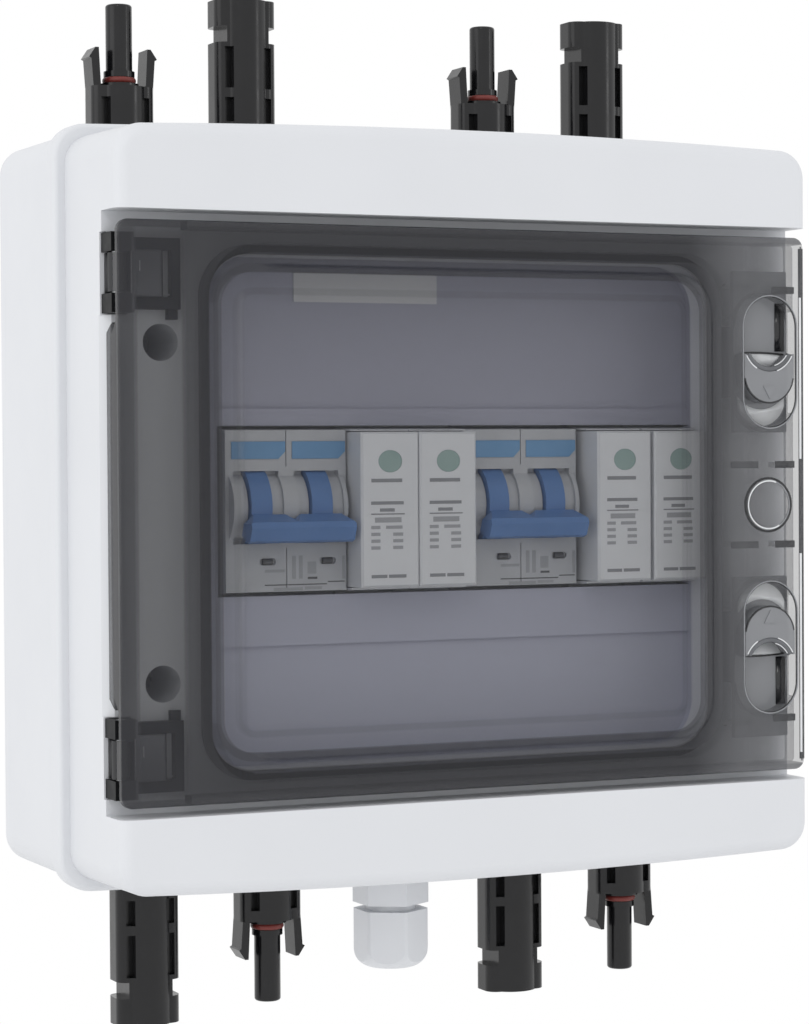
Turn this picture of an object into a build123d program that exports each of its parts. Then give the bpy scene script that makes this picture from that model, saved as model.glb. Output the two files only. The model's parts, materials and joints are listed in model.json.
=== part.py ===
"""Wall-mounted solar string junction box with a smoked door, breakers, surge arresters and plugs.

Frame: origin at the centre of the back face, X to the right, Z up, Y into the wall.
A depth is the distance in front of the wall, so a point at depth d lies at y = -d.
All sizes are in millimetres.
"""

from build123d import *
import math
import os

os.makedirs("parts", exist_ok=True)

# Overall box
box_width = 215.0
box_height = 210.0
box_depth = 100.0
wall = 2.6

# Back box
cover_side_depth = 40.5
rim_reach_x = 2.4
rim_reach_z = 3.0
base_corner = 8.0
base_back_round = 3.5
rim_height = 7.5
rim_corner = 9.2
rim_crown = 1.7
rim_edge_round = 1.4
collar_width = 3.0
seal_groove_width = 2.2
seal_groove_depth = 2.0
seal_side_clearance = 0.1
wall_hole_radius = 2.4
wall_hole_inset_x = 27.1
wall_hole_inset_z = 24.0
wall_pad_radius = 6.0
wall_pad_height = 1.6

# Front cover
cover_ledge = 3.1
cover_top_ledge = 2.8
cover_crown = 2.1
cover_corner = 8.0
cover_front_inset = 0.52
cover_edge_round = 3.5
top_bar_height = 27.2
bottom_bar_height = 25.4
recess_depth = 12.0
floor_wall = 2.6
floor_edge_chamfer = 2.4

# Window in the recess and the module panel behind it
window_x = 1.15
window_z = -1.2
window_border_x = 27.25
window_border_z = 10.3
window_corner = 12.0
panel_drop = 11.0
panel_wall = 2.4
module_z = -1.0
cutout_height = 46.0
cutout_inset = 6.3
panel_lip_height = 1.2
panel_lip_top = 4.6
panel_lip_bottom = 13.5

# Cover screws
screw_inset_x = 19.5
screw_z = 44.8
well_radius = 4.9
well_wall = 1.7
well_seat_rise = 4.5
well_seat_wall = 3.0
screw_head_radius = 4.3
screw_head_height = 3.0
screw_shank_radius = 1.75
screw_shank_length = 19.0
screw_hole_clearance = 0.4
screw_slot_reach = 2.6
screw_slot_width = 1.2
screw_slot_depth = 1.6
thread_clearance = 0.05
thread_end_gap = 1.0
base_post_radius = 4.4
post_gap = 0.3

# Door
door_side_gap = 4.2
door_top_gap = 2.7
door_inset = 1.2
door_corner = 3.0
door_inner_corner = 1.0
door_edge_round = 0.8
door_plate = 2.4
door_wall = 2.2
door_wall_height = 5.0
door_left_wall_height = 3.4
door_left_wall_gap = 16.1
pane_border_x = 6.45
pane_border_z = 5.2
pane_corner = 9.0
pane_rise = 1.2
pane_bevel = 2.4
pane_draft = 1.2
pane_wall_shift = 1.0
skirt_clearance = 0.2
skirt_wall = 2.4
skirt_corner = 14.0
door_seal_thickness = 1.2
door_seal_gap = 0.3
lens_ring_radius = 7.2
lens_ring_width = 0.8
lens_ring_height = 0.5
lens_ring_shift = 0.8
rib_wall = 1.6
rib_z = 11.3
rib_height = 4.4
rib_notch_width = 7.0
rib_notch_height = 1.2
short_rib_inset = 14.0
short_rib_length = 7.2
short_rib_height = 1.9

# Hinges
hinge_centre_z = -1.5
hinge_inset_z = 15.6
hinge_length = 20.8
hinge_axis_inset = 2.1
hinge_axis_drop = 4.4
hinge_pin_radius = 1.25
hinge_pin_clearance = 0.06
hinge_ear = 5.0
hinge_ear_overhang = 0.3
hinge_ear_width = 5.2
hinge_ear_wall = 2.4
hinge_notch = 1.5
hinge_play = 0.35
hinge_plate_width = 15.0
hinge_plate_thickness = 3.0
hinge_plate_step = 1.1
hinge_frame = 3.2
hinge_window_width = 2.5
hinge_window_inset = 2.4
hinge_pad_width = 9.2
hinge_pad_height = 2.2
hinge_pad_round = 0.8
hinge_tab_width = 2.8
hinge_tab_length = 2.6
hinge_tab_inset = 0.4
hinge_tab_thickness = 1.8
knuckle_radius = 2.3
knuckle_web_inset = 0.4

# Latches
column_inset = 11.3
slot_width = 17.0
slot_length = 37.0
slot_end_gap = 16.9
slot_collar = 1.6
slot_collar_height = 2.7
latch_travel = 6.0
tray_width = 17.6
tray_thickness = 1.6
tray_clearance = 0.3
tray_overlap = 1.5
button_clearance = 0.3
button_drop = 0.4
button_inner_gap = 6.8
button_length = 9.0
button_side_length = 5.0
triangle_size = 4.2
triangle_height = 0.3
triangle_inset = 3.6
guide_wall = 1.6
guide_lip = 1.3
guide_length = 20.0
guide_play = 0.3
hook_width = 8.0
hook_thickness = 2.6
hook_nose = 1.0
hook_reach = 2.0
hook_clearance = 0.4

# Sticker
label_width = 43.0
label_height = 8.0
label_shift = -25.35
label_drop = 7.6
label_thickness = 0.3

# Rail
rail_below_panel = 47.0
rail_height = 35.0
rail_web = 27.0
rail_depth = 7.5
rail_sheet = 1.0
rail_end_gap = 13.5
rail_screw_inset = 7.0
rail_slot_length = 9.0
rail_slot_clearance = 0.6
rail_post_radius = 4.5
rail_screw_radius = 1.6
rail_screw_head = 3.4
rail_screw_head_height = 2.0
rail_screw_slot_width = 0.8
rail_screw_slot_depth = 0.9
rail_screw_end_wall = 2.0

# Row of modules, from the left edge of the cut-out to the right; heights stand on the rail
row_start_gap = 1.6
gap_after_breaker_1 = 0.7
gap_after_arrester_1 = 0.3
gap_after_arrester_2 = 0.5
gap_after_breaker_2 = 2.3
gap_after_arrester_3 = 1.0
pole_width = 17.6
arrester_width = 17.2
module_half_height = 40.0
module_clip_depth = 5.4
rail_clearance = 0.15
shoulder_rise = 41.0
shoulder_bevel_height = 4.0
shoulder_bevel_depth = 5.0
nose_half_height = 22.6
nose_draft = 0.8
terminal_z = 31.0
terminal_radius = 3.2
terminal_recess = 6.0
terminal_head_radius = 2.9
terminal_head_height = 3.0
terminal_slot_width = 0.8
terminal_slot_depth = 1.0
entry_size = 8.0
entry_length = 9.0
entry_rise = 20.0

# Breakers
breaker_rise = 50.0
pole_seam = 0.3
pole_seam_depth = 0.5
toggle_axis_rise = 43.0
toggle_axis_z = 0.0
bulge_radius = 11.0
bulge_margin = 1.0
cheek_radius = 10.0
cheek_width = 13.2
cheek_pocket_half_height = 9.8
cheek_pocket_depth = 2.4
toggle_disc_radius = 11.5
toggle_disc_width = 6.0
toggle_clearance = 0.4
toggle_bar_reach = 17.5
toggle_bar_thickness = 6.2
toggle_bar_left = 3.8
toggle_bar_right = 1.0
toggle_bar_bevel = 1.2
toggle_bar_shoulder = 2.4
toggle_notch_half_width = 2.2
toggle_notch_depth = 1.8
toggle_rest_angle = -24.0
toggle_pivot_radius = 1.5
toggle_stem_foot = 3.0
toggle_stem_overlap = 1.0
tab_width = 15.6
tab_height = 4.7
tab_shift = 0.75
tab_z = 16.4
tab_recess = 0.6
tab_proud = 0.2
tab_bevel = 2.0
tab_clearance = 0.05
marker_width = 4.8
marker_height = 2.0
marker_shift = 3.3
marker_z = -13.7
marker_recess = 0.8

# Surge arrester cartridges
cartridge_rise = 59.0
cartridge_top = 21.2
cartridge_bottom = 21.0
cartridge_edge = 0.6
cartridge_gap = 0.3
cartridge_stem_width = 13.0
cartridge_stem_rise = 16.0
cartridge_stem_height = 34.0
cartridge_play = 0.25
part_overlap = 1.0
blade_length = 5.0
blade_width = 6.0
blade_thickness = 1.0
blade_z = 11.0
blade_clearance = 0.3
arrester_wall_rise = 52.0
status_half_width = 3.5
status_half_height = 3.0
status_z = 13.2
status_recess = 1.0
status_inset = 0.1
status_clearance = 0.05

# Plug connectors
top_row_depth = 23.0
bottom_row_inset = 14.0
plug_edge_gap = 29.1
plug_pitch = 37.2
plug_width = 18.4
plug_thickness = 15.6
plug_wing_thickness = 11.0
plug_corner = 3.4
plug_thread_radius = 6.0
panel_hole_clearance = 0.15
plug_thread_length = 13.0
washer_thickness = 1.0
washer_radius = 8.9
panel_nut_flats = 17.0
panel_nut_thickness = 4.0
female_length = 42.5
female_head = 7.6
female_notch = 4.6
female_notch_cut = 2.8
socket_radius = 4.0
socket_length = 26.0
socket_mouth_radius = 4.9
socket_mouth_length = 6.0
side_slot_x = 5.9
side_slot_width = 2.4
side_slot_cut = 2.4
long_slot_start = 17.2
long_slot_end = 29.0
short_slot_start = 7.5
short_slot_end = 14.5
contact_radius = 1.5
contact_wall = 0.45
female_contact_tip = 10.0
male_base = 16.2
male_tip = 39.6
male_collar_radius = 5.5
male_collar_height = 1.0
oring_section = 0.95
oring_radius = 3.85
male_shoulder_radius = 4.4
male_shoulder_height = 1.6
sleeve_radius = 3.75
sleeve_bore = 1.9
sleeve_bore_length = 14.0
sleeve_tip_round = 0.8
pin_tip_inset = 2.0
pin_hole_length = 8.0
arm_inset = 0.4
arm_root = 1.0
arm_length = 10.8
arm_thickness = 2.2
arm_width = 7.4
arm_lean = 0.6
arm_barb = 0.7
arm_barb_height = 3.2
arm_barb_rise = 0.4
arm_tip_width = 1.0
male_slot_start = 5.0
male_slot_end = 13.0

# Cable gland
gland_x = 0.0
gland_flats = 19.2
gland_washer_radius = 11.2
gland_hex_length = 13.2
gland_neck_radius = 7.4
gland_neck_gap = 1.8
gland_neck_overlap = 7.5
gland_nut_length = 16.8
gland_nut_wall = 1.6
gland_cable_radius = 4.0
gland_body_bore = 5.0
gland_dome = 3.2
gland_dome_round = 5.2
gland_dome_reach = 1.2
gland_thread_radius = 7.9
gland_thread_length = 11.0
gland_locknut_thickness = 4.5
gland_locknut_flats = 21.2
gland_fit = 0.06
insert_radius = 6.4
insert_wall_gap = 0.3

# Places worked out from the sizes above: the box and its cover
base_width = box_width - 2 * rim_reach_x
base_height = box_height - 2 * rim_reach_z
base_depth = box_depth - cover_side_depth
base_top = base_height / 2
rim_back = base_depth - rim_height
cover_width = box_width - 2 * cover_ledge
cover_height = box_height - 2 * cover_top_ledge
floor_depth = box_depth - recess_depth
floor_back = floor_depth - floor_wall
recess_top = box_height / 2 - top_bar_height
recess_bottom = bottom_bar_height - box_height / 2
recess_centre_z = (recess_top + recess_bottom) / 2
recess_height = recess_top - recess_bottom
well_seat_depth = base_depth + well_seat_rise
post_top = well_seat_depth - well_seat_wall - post_gap
screw_x = box_width / 2 - screw_inset_x
wall_hole_x = base_width / 2 - wall_hole_inset_x
wall_hole_z = base_height / 2 - wall_hole_inset_z

# Door, window and panel
door_half_width = box_width / 2 - door_side_gap
door_height = recess_height - 2 * door_top_gap
door_depth = box_depth - door_inset
door_back = door_depth - door_plate
window_half_width = door_half_width - window_border_x
window_half_height = recess_height / 2 - window_border_z
window_right = window_x + window_half_width
window_top = window_z + window_half_height
panel_depth = floor_depth - panel_drop
cutout_left = window_x - window_half_width + cutout_inset
pane_half_width = window_half_width - pane_border_x
pane_half_height = window_half_height - pane_border_z
skirt_half_width = window_half_width + skirt_clearance + skirt_wall
skirt_half_height = window_half_height + skirt_clearance + skirt_wall
skirt_right = window_x + skirt_half_width
door_seal_back = floor_depth + door_seal_gap
skirt_back = door_seal_back + door_seal_thickness
short_rib_z = door_height / 2 - short_rib_inset
slot_collar_depth = door_back - slot_collar_height

# Hinges and latches
hinge_z = recess_height / 2 - hinge_inset_z
hinge_axis_x = hinge_axis_inset - door_half_width
hinge_axis_depth = door_back - hinge_axis_drop
hinge_ear_left = -door_half_width - hinge_ear_overhang
hinge_ear_right = hinge_ear_left + hinge_ear_width
hinge_ear_front = hinge_axis_depth + hinge_ear_wall
hinge_plate_right = hinge_ear_right + hinge_plate_width
column_x = door_half_width - column_inset
latch_offset = door_height / 2 - slot_end_gap - slot_length / 2
slot_inner_z = latch_offset - slot_length / 2
latch_tray_front = slot_collar_depth - tray_clearance
latch_tray_back = latch_tray_front - tray_thickness
button_depth = door_depth - button_drop
hook_z = slot_inner_z + button_inner_gap + hook_thickness / 2
label_x = window_x + label_shift
label_z = window_top - label_drop

# Rail and modules
rail_front = panel_depth - rail_below_panel
rail_back = rail_front - rail_depth
rail_length = base_width - 2 * (wall + rail_end_gap)
rail_screw_x = rail_length / 2 - rail_screw_inset
module_back = rail_front - module_clip_depth
shoulder_depth = rail_front + shoulder_rise
breaker_nose_depth = rail_front + breaker_rise
toggle_axis_depth = rail_front + toggle_axis_rise
entry_depth = rail_front + entry_rise
cartridge_front = rail_front + cartridge_rise
cartridge_stem_back = rail_front + cartridge_stem_rise
arrester_wall_depth = rail_front + arrester_wall_rise
cartridge_height = cartridge_top + cartridge_bottom

# Plugs
bottom_row_depth = rim_back - bottom_row_inset
outer_plug_x = base_width / 2 - plug_edge_gap
inner_plug_x = outer_plug_x - plug_pitch


def slab(outline, near, far):
    """Solid with the given front outline, between two depths."""
    return extrude(Plane.XZ.offset(near) * outline, far - near)


def block(left, right, bottom, top, near, far):
    """Square-edged block between two X, two Z and two depth values."""
    outline = Pos((left + right) / 2, (bottom + top) / 2) * Rectangle(right - left, top - bottom)
    return slab(outline, near, far)


def front_rod(x, z, radius, near, far):
    """Round rod square to the wall."""
    return slab(Pos(x, z) * Circle(radius), near, far)


def upright_rod(x, depth, radius, bottom, top):
    """Round rod along Z."""
    return extrude(Plane.XY.offset(bottom) * Pos(x, -depth) * Circle(radius), top - bottom)


def rounded_box_outline(width, height, corner, x=0.0, z=0.0):
    """Rounded rectangle seen from the front."""
    return Pos(x, z) * RectangleRounded(width, height, corner)


def crowned_outline(width, height, corner, crown):
    """Rounded rectangle whose top and bottom edges bow outwards."""
    side = height / 2 - crown
    top = ThreePointArc((-width / 2, side), (0, height / 2), (width / 2, side))
    right = Line((width / 2, side), (width / 2, -side))
    bottom = ThreePointArc((width / 2, -side), (0, -height / 2), (-width / 2, -side))
    left = Line((-width / 2, -side), (-width / 2, side))
    face = make_face([top, right, bottom, left])
    return fillet(face.vertices(), corner)


def tapered(rear_outline, front_outline, near, far):
    """Solid that runs straight from a rear outline to a front outline."""
    return loft([Plane.XZ.offset(near) * rear_outline, Plane.XZ.offset(far) * front_outline])


def profile_along_x(points, left, right):
    """Closed profile in depth and height, pushed from left to right."""
    places = [(left, -depth, height) for depth, height in points]
    face = make_face(Polyline(places, close=True))
    return extrude(face, right - left, dir=(1, 0, 0))


def lying_rod(radius, depth, z, left, right):
    """Round rod along X."""
    return extrude(Plane.YZ.offset(left) * Pos(-depth, z) * Circle(radius), right - left)


def edges_at_depth(shape, depth):
    """Edges that lie wholly at one depth."""
    return shape.edges().filter_by(lambda e: abs(e.bounding_box().min.Y + depth) < 0.01
                                   and abs(e.bounding_box().max.Y + depth) < 0.01)


def screw_places():
    """Centres of the four cover screws."""
    return [(side * screw_x, module_z + level * screw_z) for side in (-1, 1) for level in (-1, 1)]


def plug_places(row):
    """X of the four plugs of a row and whether each one is a male plug."""
    kinds = (True, False, True, False) if row > 0 else (False, True, False, True)
    return list(zip((-outer_plug_x, -inner_plug_x, inner_plug_x, outer_plug_x), kinds))


def row_depth(row):
    """Depth of the plug axes in the top row (1) or the bottom row (-1)."""
    return top_row_depth if row > 0 else bottom_row_depth


def back_box():
    """Moulded rear half: a deep tray with a proud rim, posts and holes."""
    tray = slab(RectangleRounded(base_width, base_height, base_corner), 0, base_depth)
    tray = fillet(edges_at_depth(tray, 0), base_back_round)
    rim = slab(crowned_outline(box_width, box_height, rim_corner, rim_crown),
               rim_back, base_depth)
    rim = fillet(edges_at_depth(rim, base_depth) + edges_at_depth(rim, rim_back), rim_edge_round)
    inner_width = base_width - 2 * wall
    inner_height = base_height - 2 * wall
    cavity = slab(RectangleRounded(inner_width, inner_height, base_corner - wall),
                  wall, rim_back)
    mouth = slab(RectangleRounded(inner_width - 2 * collar_width, inner_height - 2 * collar_width,
                                  base_corner - wall - collar_width),
                 rim_back, base_depth)
    body = tray + rim - cavity - mouth
    body -= slab(cover_seal_outline(0.0), base_depth - seal_groove_depth, base_depth)
    for x, z in screw_places():
        body += front_rod(x, z, base_post_radius, wall / 2, post_top)
        body -= front_rod(x, z, screw_shank_radius + thread_clearance,
                          well_seat_depth - screw_shank_length - thread_end_gap, post_top)
    for side in (-1, 1):
        body += front_rod(side * rail_screw_x, module_z, rail_post_radius, wall / 2, rail_back)
        body -= front_rod(side * rail_screw_x, module_z, rail_screw_radius + thread_clearance,
                          wall + rail_screw_end_wall - thread_end_gap, rail_back)
        for level in (-1, 1):
            x, z = side * wall_hole_x, level * wall_hole_z
            body += front_rod(x, z, wall_pad_radius, wall / 2, wall + wall_pad_height)
            body -= front_rod(x, z, wall_hole_radius, 0, wall + wall_pad_height)
    for row in (-1, 1):
        low, high = sorted((row * (base_top - wall - 1), row * (base_top + 1)))
        for x, _ in plug_places(row):
            body -= upright_rod(x, row_depth(row), plug_thread_radius + panel_hole_clearance,
                                low, high)
    body -= upright_rod(gland_x, bottom_row_depth, gland_thread_radius + panel_hole_clearance,
                        -base_top - 1, -base_top + wall + 1)
    return body


def cover_seal_outline(inset):
    """Flat ring that follows the foot of the cover wall."""
    centre = (wall - seal_groove_width) / 2
    outer = crowned_outline(cover_width - 2 * (centre + inset), cover_height - 2 * (centre + inset),
                            cover_corner, cover_crown)
    gap = centre + seal_groove_width - inset
    inner = crowned_outline(cover_width - 2 * gap, cover_height - 2 * gap,
                            cover_corner - seal_groove_width, cover_crown)
    return outer - inner


def cover_seal():
    """Rubber strip in the rim groove, touched by the foot of the cover."""
    return slab(cover_seal_outline(seal_side_clearance), base_depth - seal_groove_depth, base_depth)


def cover_shape(inset, near, far):
    """Tapered block of the cover, with the same taper when it is inset for the inside."""
    def outline(depth):
        draft = cover_front_inset * (depth - base_depth) / (box_depth - base_depth)
        margin = 2 * (inset + draft)
        return crowned_outline(cover_width - margin, cover_height - margin,
                               cover_corner - inset, cover_crown)
    return tapered(outline(near), outline(far), near, far)


def window_outline(grow):
    """Rounded outline of the window, grown on every side."""
    return rounded_box_outline(2 * (window_half_width + grow), 2 * (window_half_height + grow),
                               window_corner + grow, window_x, window_z)


def front_cover():
    """Moulded front: two hollow bars, a recess between them, and a well down to the module panel."""
    shell = cover_shape(0.0, base_depth, box_depth)
    shell = fillet(edges_at_depth(shell, box_depth), cover_edge_round)
    recess = block(-box_width, box_width, recess_bottom, recess_top, floor_depth, box_depth + 1)
    inside = cover_shape(wall, base_depth, box_depth - wall)
    under_bars = block(-box_width, box_width, recess_bottom - wall, recess_top + wall,
                       floor_back, box_depth)
    shell = shell - (inside - under_bars) - recess
    well = slab(window_outline(panel_wall), panel_depth - panel_wall, floor_depth)
    shell += well
    shell -= slab(window_outline(0.0), panel_depth, floor_depth)
    shell += panel_lip()
    shell -= module_cutout(panel_depth - panel_wall - 1, panel_depth + panel_lip_height + 1)
    for x, z in screw_places():
        shell += front_rod(x, z, well_radius + well_wall, well_seat_depth - well_seat_wall, floor_back)
        shell -= front_rod(x, z, well_radius, well_seat_depth, floor_depth)
        shell -= front_rod(x, z, screw_shank_radius + screw_hole_clearance,
                           well_seat_depth - well_seat_wall, well_seat_depth)
    for level in (-1, 1):
        shell -= hinge_pocket(level)
        shell -= catch_slot(level)
    return shell - floor_bevel()


def floor_bevel():
    """Wedge cut from the left edge of the recess floor, between the hinges."""
    edge = -cover_width / 2 + cover_front_inset
    cut = floor_edge_chamfer
    half = hinge_z - hinge_length / 2 - hinge_play
    corners = [(edge - cut, -floor_depth + 2 * cut), (edge - cut, -floor_depth - cut),
               (edge + 2 * cut, -floor_depth - cut)]
    face = Plane.XY.offset(hinge_centre_z - half) * make_face(Polyline(corners, close=True))
    return extrude(face, 2 * half)


def panel_lip():
    """Raised band of the panel above and below the module cut-out."""
    top = module_z + cutout_height / 2 + panel_lip_top
    bottom = module_z - cutout_height / 2 - panel_lip_bottom
    return block(window_x - window_half_width, window_right, bottom, top,
                 panel_depth - panel_wall / 2, panel_depth + panel_lip_height)


def module_cutout(near, far):
    """Opening through which the noses of the modules stand out."""
    return block(cutout_left, window_right, module_z - cutout_height / 2,
                 module_z + cutout_height / 2, near, far)


def hinge_pocket(level):
    """Shallow pocket that holds the ears of a hinge bracket."""
    half = hinge_length / 2 + hinge_play
    centre = hinge_centre_z + level * hinge_z
    right = hinge_ear_right + part_overlap + hinge_play
    return block(-box_width / 2, right, centre - half, centre + half,
                 floor_depth - hinge_notch, floor_depth + 1)


def catch_slot(level):
    """Slot in the recess floor for the hook of a latch."""
    near_z = hook_z - hook_thickness / 2 - latch_travel - hook_clearance
    far_z = hook_z + hook_thickness / 2 + hook_nose + hook_clearance
    low, high = sorted((module_z + level * near_z, module_z + level * far_z))
    half = hook_width / 2 + 2 * hook_clearance
    return block(column_x - half, column_x + half, low, high, floor_back - 1, floor_depth + 1)


def cover_screws():
    """Four cross-slotted screws at the foot of their wells."""
    screws = Part()
    for x, z in screw_places():
        screw = front_rod(x, z, screw_head_radius, well_seat_depth,
                          well_seat_depth + screw_head_height)
        screw += front_rod(x, z, screw_shank_radius, well_seat_depth - screw_shank_length,
                           well_seat_depth)
        top = well_seat_depth + screw_head_height
        reach, half = screw_slot_reach, screw_slot_width / 2
        slot = block(x - reach, x + reach, z - half, z + half, top - screw_slot_depth, top)
        slot += block(x - half, x + half, z - reach, z + reach, top - screw_slot_depth, top)
        screws += screw - slot
    return screws


def latch_slot_outline(level, grow=0.0):
    """Upright stadium of a latch opening in the door."""
    outline = SlotOverall(slot_length + 2 * grow, slot_width + 2 * grow, rotation=90)
    return Pos(column_x, module_z + level * latch_offset) * outline


def door_plate_body():
    """Front plate of the door with its shallow raised pane."""
    plate = slab(rounded_box_outline(2 * door_half_width, door_height, door_corner,
                                     0, recess_centre_z), door_back, door_depth)
    plate = fillet(edges_at_depth(plate, door_depth), door_edge_round)

    def pane(grow, near):
        foot = rounded_box_outline(2 * (pane_half_width + grow), 2 * (pane_half_height + grow),
                                   pane_corner + grow, window_x, window_z)
        face = rounded_box_outline(2 * (pane_half_width + grow - pane_draft),
                                   2 * (pane_half_height + grow - pane_draft),
                                   pane_corner + grow - pane_draft, window_x, window_z)
        return tapered(foot, face, near, near + pane_rise)

    return plate + pane(pane_bevel, door_depth) - pane(pane_bevel - pane_wall_shift, door_back)


def door_walls():
    """Rim, skirt, ribs, collars and guides behind the front plate."""
    outer = rounded_box_outline(2 * door_half_width, door_height, door_corner, 0, recess_centre_z)
    inner = rounded_box_outline(2 * (door_half_width - door_wall), door_height - 2 * door_wall,
                                door_inner_corner, 0, recess_centre_z)
    walls = slab(outer - inner, door_back - door_wall_height, door_back)
    walls -= block(-box_width, hinge_plate_right, recess_bottom, recess_top,
                   door_back - door_wall_height - 1, door_back)
    walls += left_wall()
    skirt_outer = rounded_box_outline(2 * skirt_half_width, 2 * skirt_half_height, skirt_corner,
                                      window_x, window_z)
    skirt_inner = rounded_box_outline(2 * (skirt_half_width - skirt_wall),
                                      2 * (skirt_half_height - skirt_wall),
                                      skirt_corner - skirt_wall, window_x, window_z)
    walls += slab(skirt_outer - skirt_inner, skirt_back, door_back)
    wall_left = door_half_width - door_wall
    for level in (-1, 1):
        z = module_z + level * rib_z
        rib = block(skirt_right - part_overlap, wall_left + part_overlap, z - rib_wall / 2, z + rib_wall / 2,
                    door_back - rib_height, door_back)
        notch = block(column_x - rib_notch_width / 2, column_x + rib_notch_width / 2,
                      z - rib_wall, z + rib_wall, door_back - rib_height - 1,
                      door_back - rib_notch_height)
        walls += rib - notch
        z = module_z + level * short_rib_z
        walls += block(skirt_right - part_overlap, skirt_right + short_rib_length, z - rib_wall / 2,
                       z + rib_wall / 2, door_back - short_rib_height, door_back)
        walls += slab(latch_slot_outline(level, slot_collar) & wide_column(),
                      slot_collar_depth, door_back)
        walls += latch_guides(level)
    return walls


def wide_column():
    """Front outline of the door column that carries the latches."""
    return Pos((skirt_right + door_half_width) / 2, 0) * Rectangle(door_half_width - skirt_right,
                                                                   door_height)


def left_wall():
    """Side wall between the hinges, bevelled at both ends."""
    half = hinge_z - door_left_wall_gap
    top, bottom = hinge_centre_z + half, hinge_centre_z - half
    back = door_back - door_left_wall_height
    points = [(door_back, top + door_left_wall_height), (back, top), (back, bottom),
              (door_back, bottom - door_left_wall_height)]
    return profile_along_x(points, -door_half_width, -door_half_width + door_wall)


def latch_guides(level):
    """Two lipped rails that hold a latch tray against the back of the door."""
    centre = module_z + level * latch_offset
    low, high = centre - guide_length / 2, centre + guide_length / 2
    side = column_x - tray_width / 2 - guide_play
    lip_back = latch_tray_back - guide_play - guide_wall
    rails = block(side - guide_wall, side, low, high, lip_back, door_back)
    rails += block(side, side + guide_lip, low, high, lip_back, lip_back + guide_wall)
    wall_left = door_half_width - door_wall
    rails += block(wall_left, door_half_width, low, high, lip_back, door_back)
    rails += block(wall_left - guide_lip, wall_left, low, high, lip_back, lip_back + guide_wall)
    return rails


def door_knuckles():
    """Two lugs that reach back to the hinge pins."""
    half = hinge_length / 2 - hinge_ear - hinge_play
    lugs = Part()
    for level in (-1, 1):
        centre = hinge_centre_z + level * hinge_z
        lug = upright_rod(hinge_axis_x, hinge_axis_depth, knuckle_radius, centre - half, centre + half)
        lug += block(hinge_axis_x - knuckle_radius + knuckle_web_inset, hinge_axis_x + knuckle_radius,
                     centre - half, centre + half, hinge_axis_depth, door_back)
        lug -= upright_rod(hinge_axis_x, hinge_axis_depth, hinge_pin_radius + hinge_pin_clearance,
                           centre - half, centre + half)
        lugs += lug
    return lugs


def door():
    """Smoked door, one moulding: plate, pane, rim, skirt, ribs, latch openings and hinge lugs."""
    body = door_plate_body() + door_walls() + door_knuckles()
    for level in (-1, 1):
        body -= slab(latch_slot_outline(level), slot_collar_depth - 1, door_depth + 1)
    ring_face = Circle(lens_ring_radius) - Circle(lens_ring_radius - lens_ring_width)
    ring = slab(Pos(column_x - lens_ring_shift, module_z) * ring_face, door_depth, door_depth + lens_ring_height)
    return body + ring


def door_seal():
    """Flat rubber edge on the back of the door skirt."""
    outer = rounded_box_outline(2 * skirt_half_width, 2 * skirt_half_height, skirt_corner,
                                window_x, window_z)
    inner = rounded_box_outline(2 * (skirt_half_width - skirt_wall),
                                2 * (skirt_half_height - skirt_wall),
                                skirt_corner - skirt_wall, window_x, window_z)
    return slab(outer - inner, door_seal_back, skirt_back)


def hinge_bracket(level):
    """Black bracket: framed plate on the recess floor and two pierced ears."""
    centre = hinge_centre_z + level * hinge_z
    half = hinge_length / 2
    floor = floor_depth
    plate_half = half - hinge_plate_step
    opening_half = plate_half - hinge_frame
    plate_front = floor + hinge_plate_thickness
    plate = block(hinge_ear_right, hinge_plate_right, centre - plate_half, centre + plate_half,
                  floor, plate_front)
    window_right_edge = hinge_plate_right - hinge_window_inset
    window = block(window_right_edge - hinge_window_width, window_right_edge, centre - opening_half,
                   centre + opening_half, floor, plate_front)
    pad = block(hinge_ear_right, hinge_ear_right + hinge_pad_width, centre - opening_half,
                centre + opening_half, floor, plate_front + hinge_pad_height)
    pad = fillet(edges_at_depth(pad, plate_front + hinge_pad_height), hinge_pad_round)
    body = plate - window + pad
    ear_back = floor - hinge_notch
    for end in (-1, 1):
        outer = centre + end * half
        inner = centre + end * (half - hinge_ear)
        low, high = sorted((outer, inner))
        body += block(hinge_ear_left, hinge_ear_right + part_overlap, low, high, ear_back,
                      hinge_ear_front)
    body -= upright_rod(hinge_axis_x, hinge_axis_depth, hinge_pin_radius + hinge_pin_clearance,
                        centre - half, centre + half)
    towards_middle = centre - level * plate_half
    low, high = sorted((towards_middle, towards_middle - level * hinge_tab_length))
    tab_right = hinge_plate_right - hinge_tab_inset
    body += block(tab_right - hinge_tab_width, tab_right, low, high, floor,
                  floor + hinge_tab_thickness)
    return body


def hinge_pins():
    """Two steel pins, one in each hinge."""
    pins = Part()
    for level in (-1, 1):
        centre = hinge_centre_z + level * hinge_z
        pins += upright_rod(hinge_axis_x, hinge_axis_depth, hinge_pin_radius,
                            centre - hinge_length / 2, centre + hinge_length / 2)
    return pins


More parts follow.
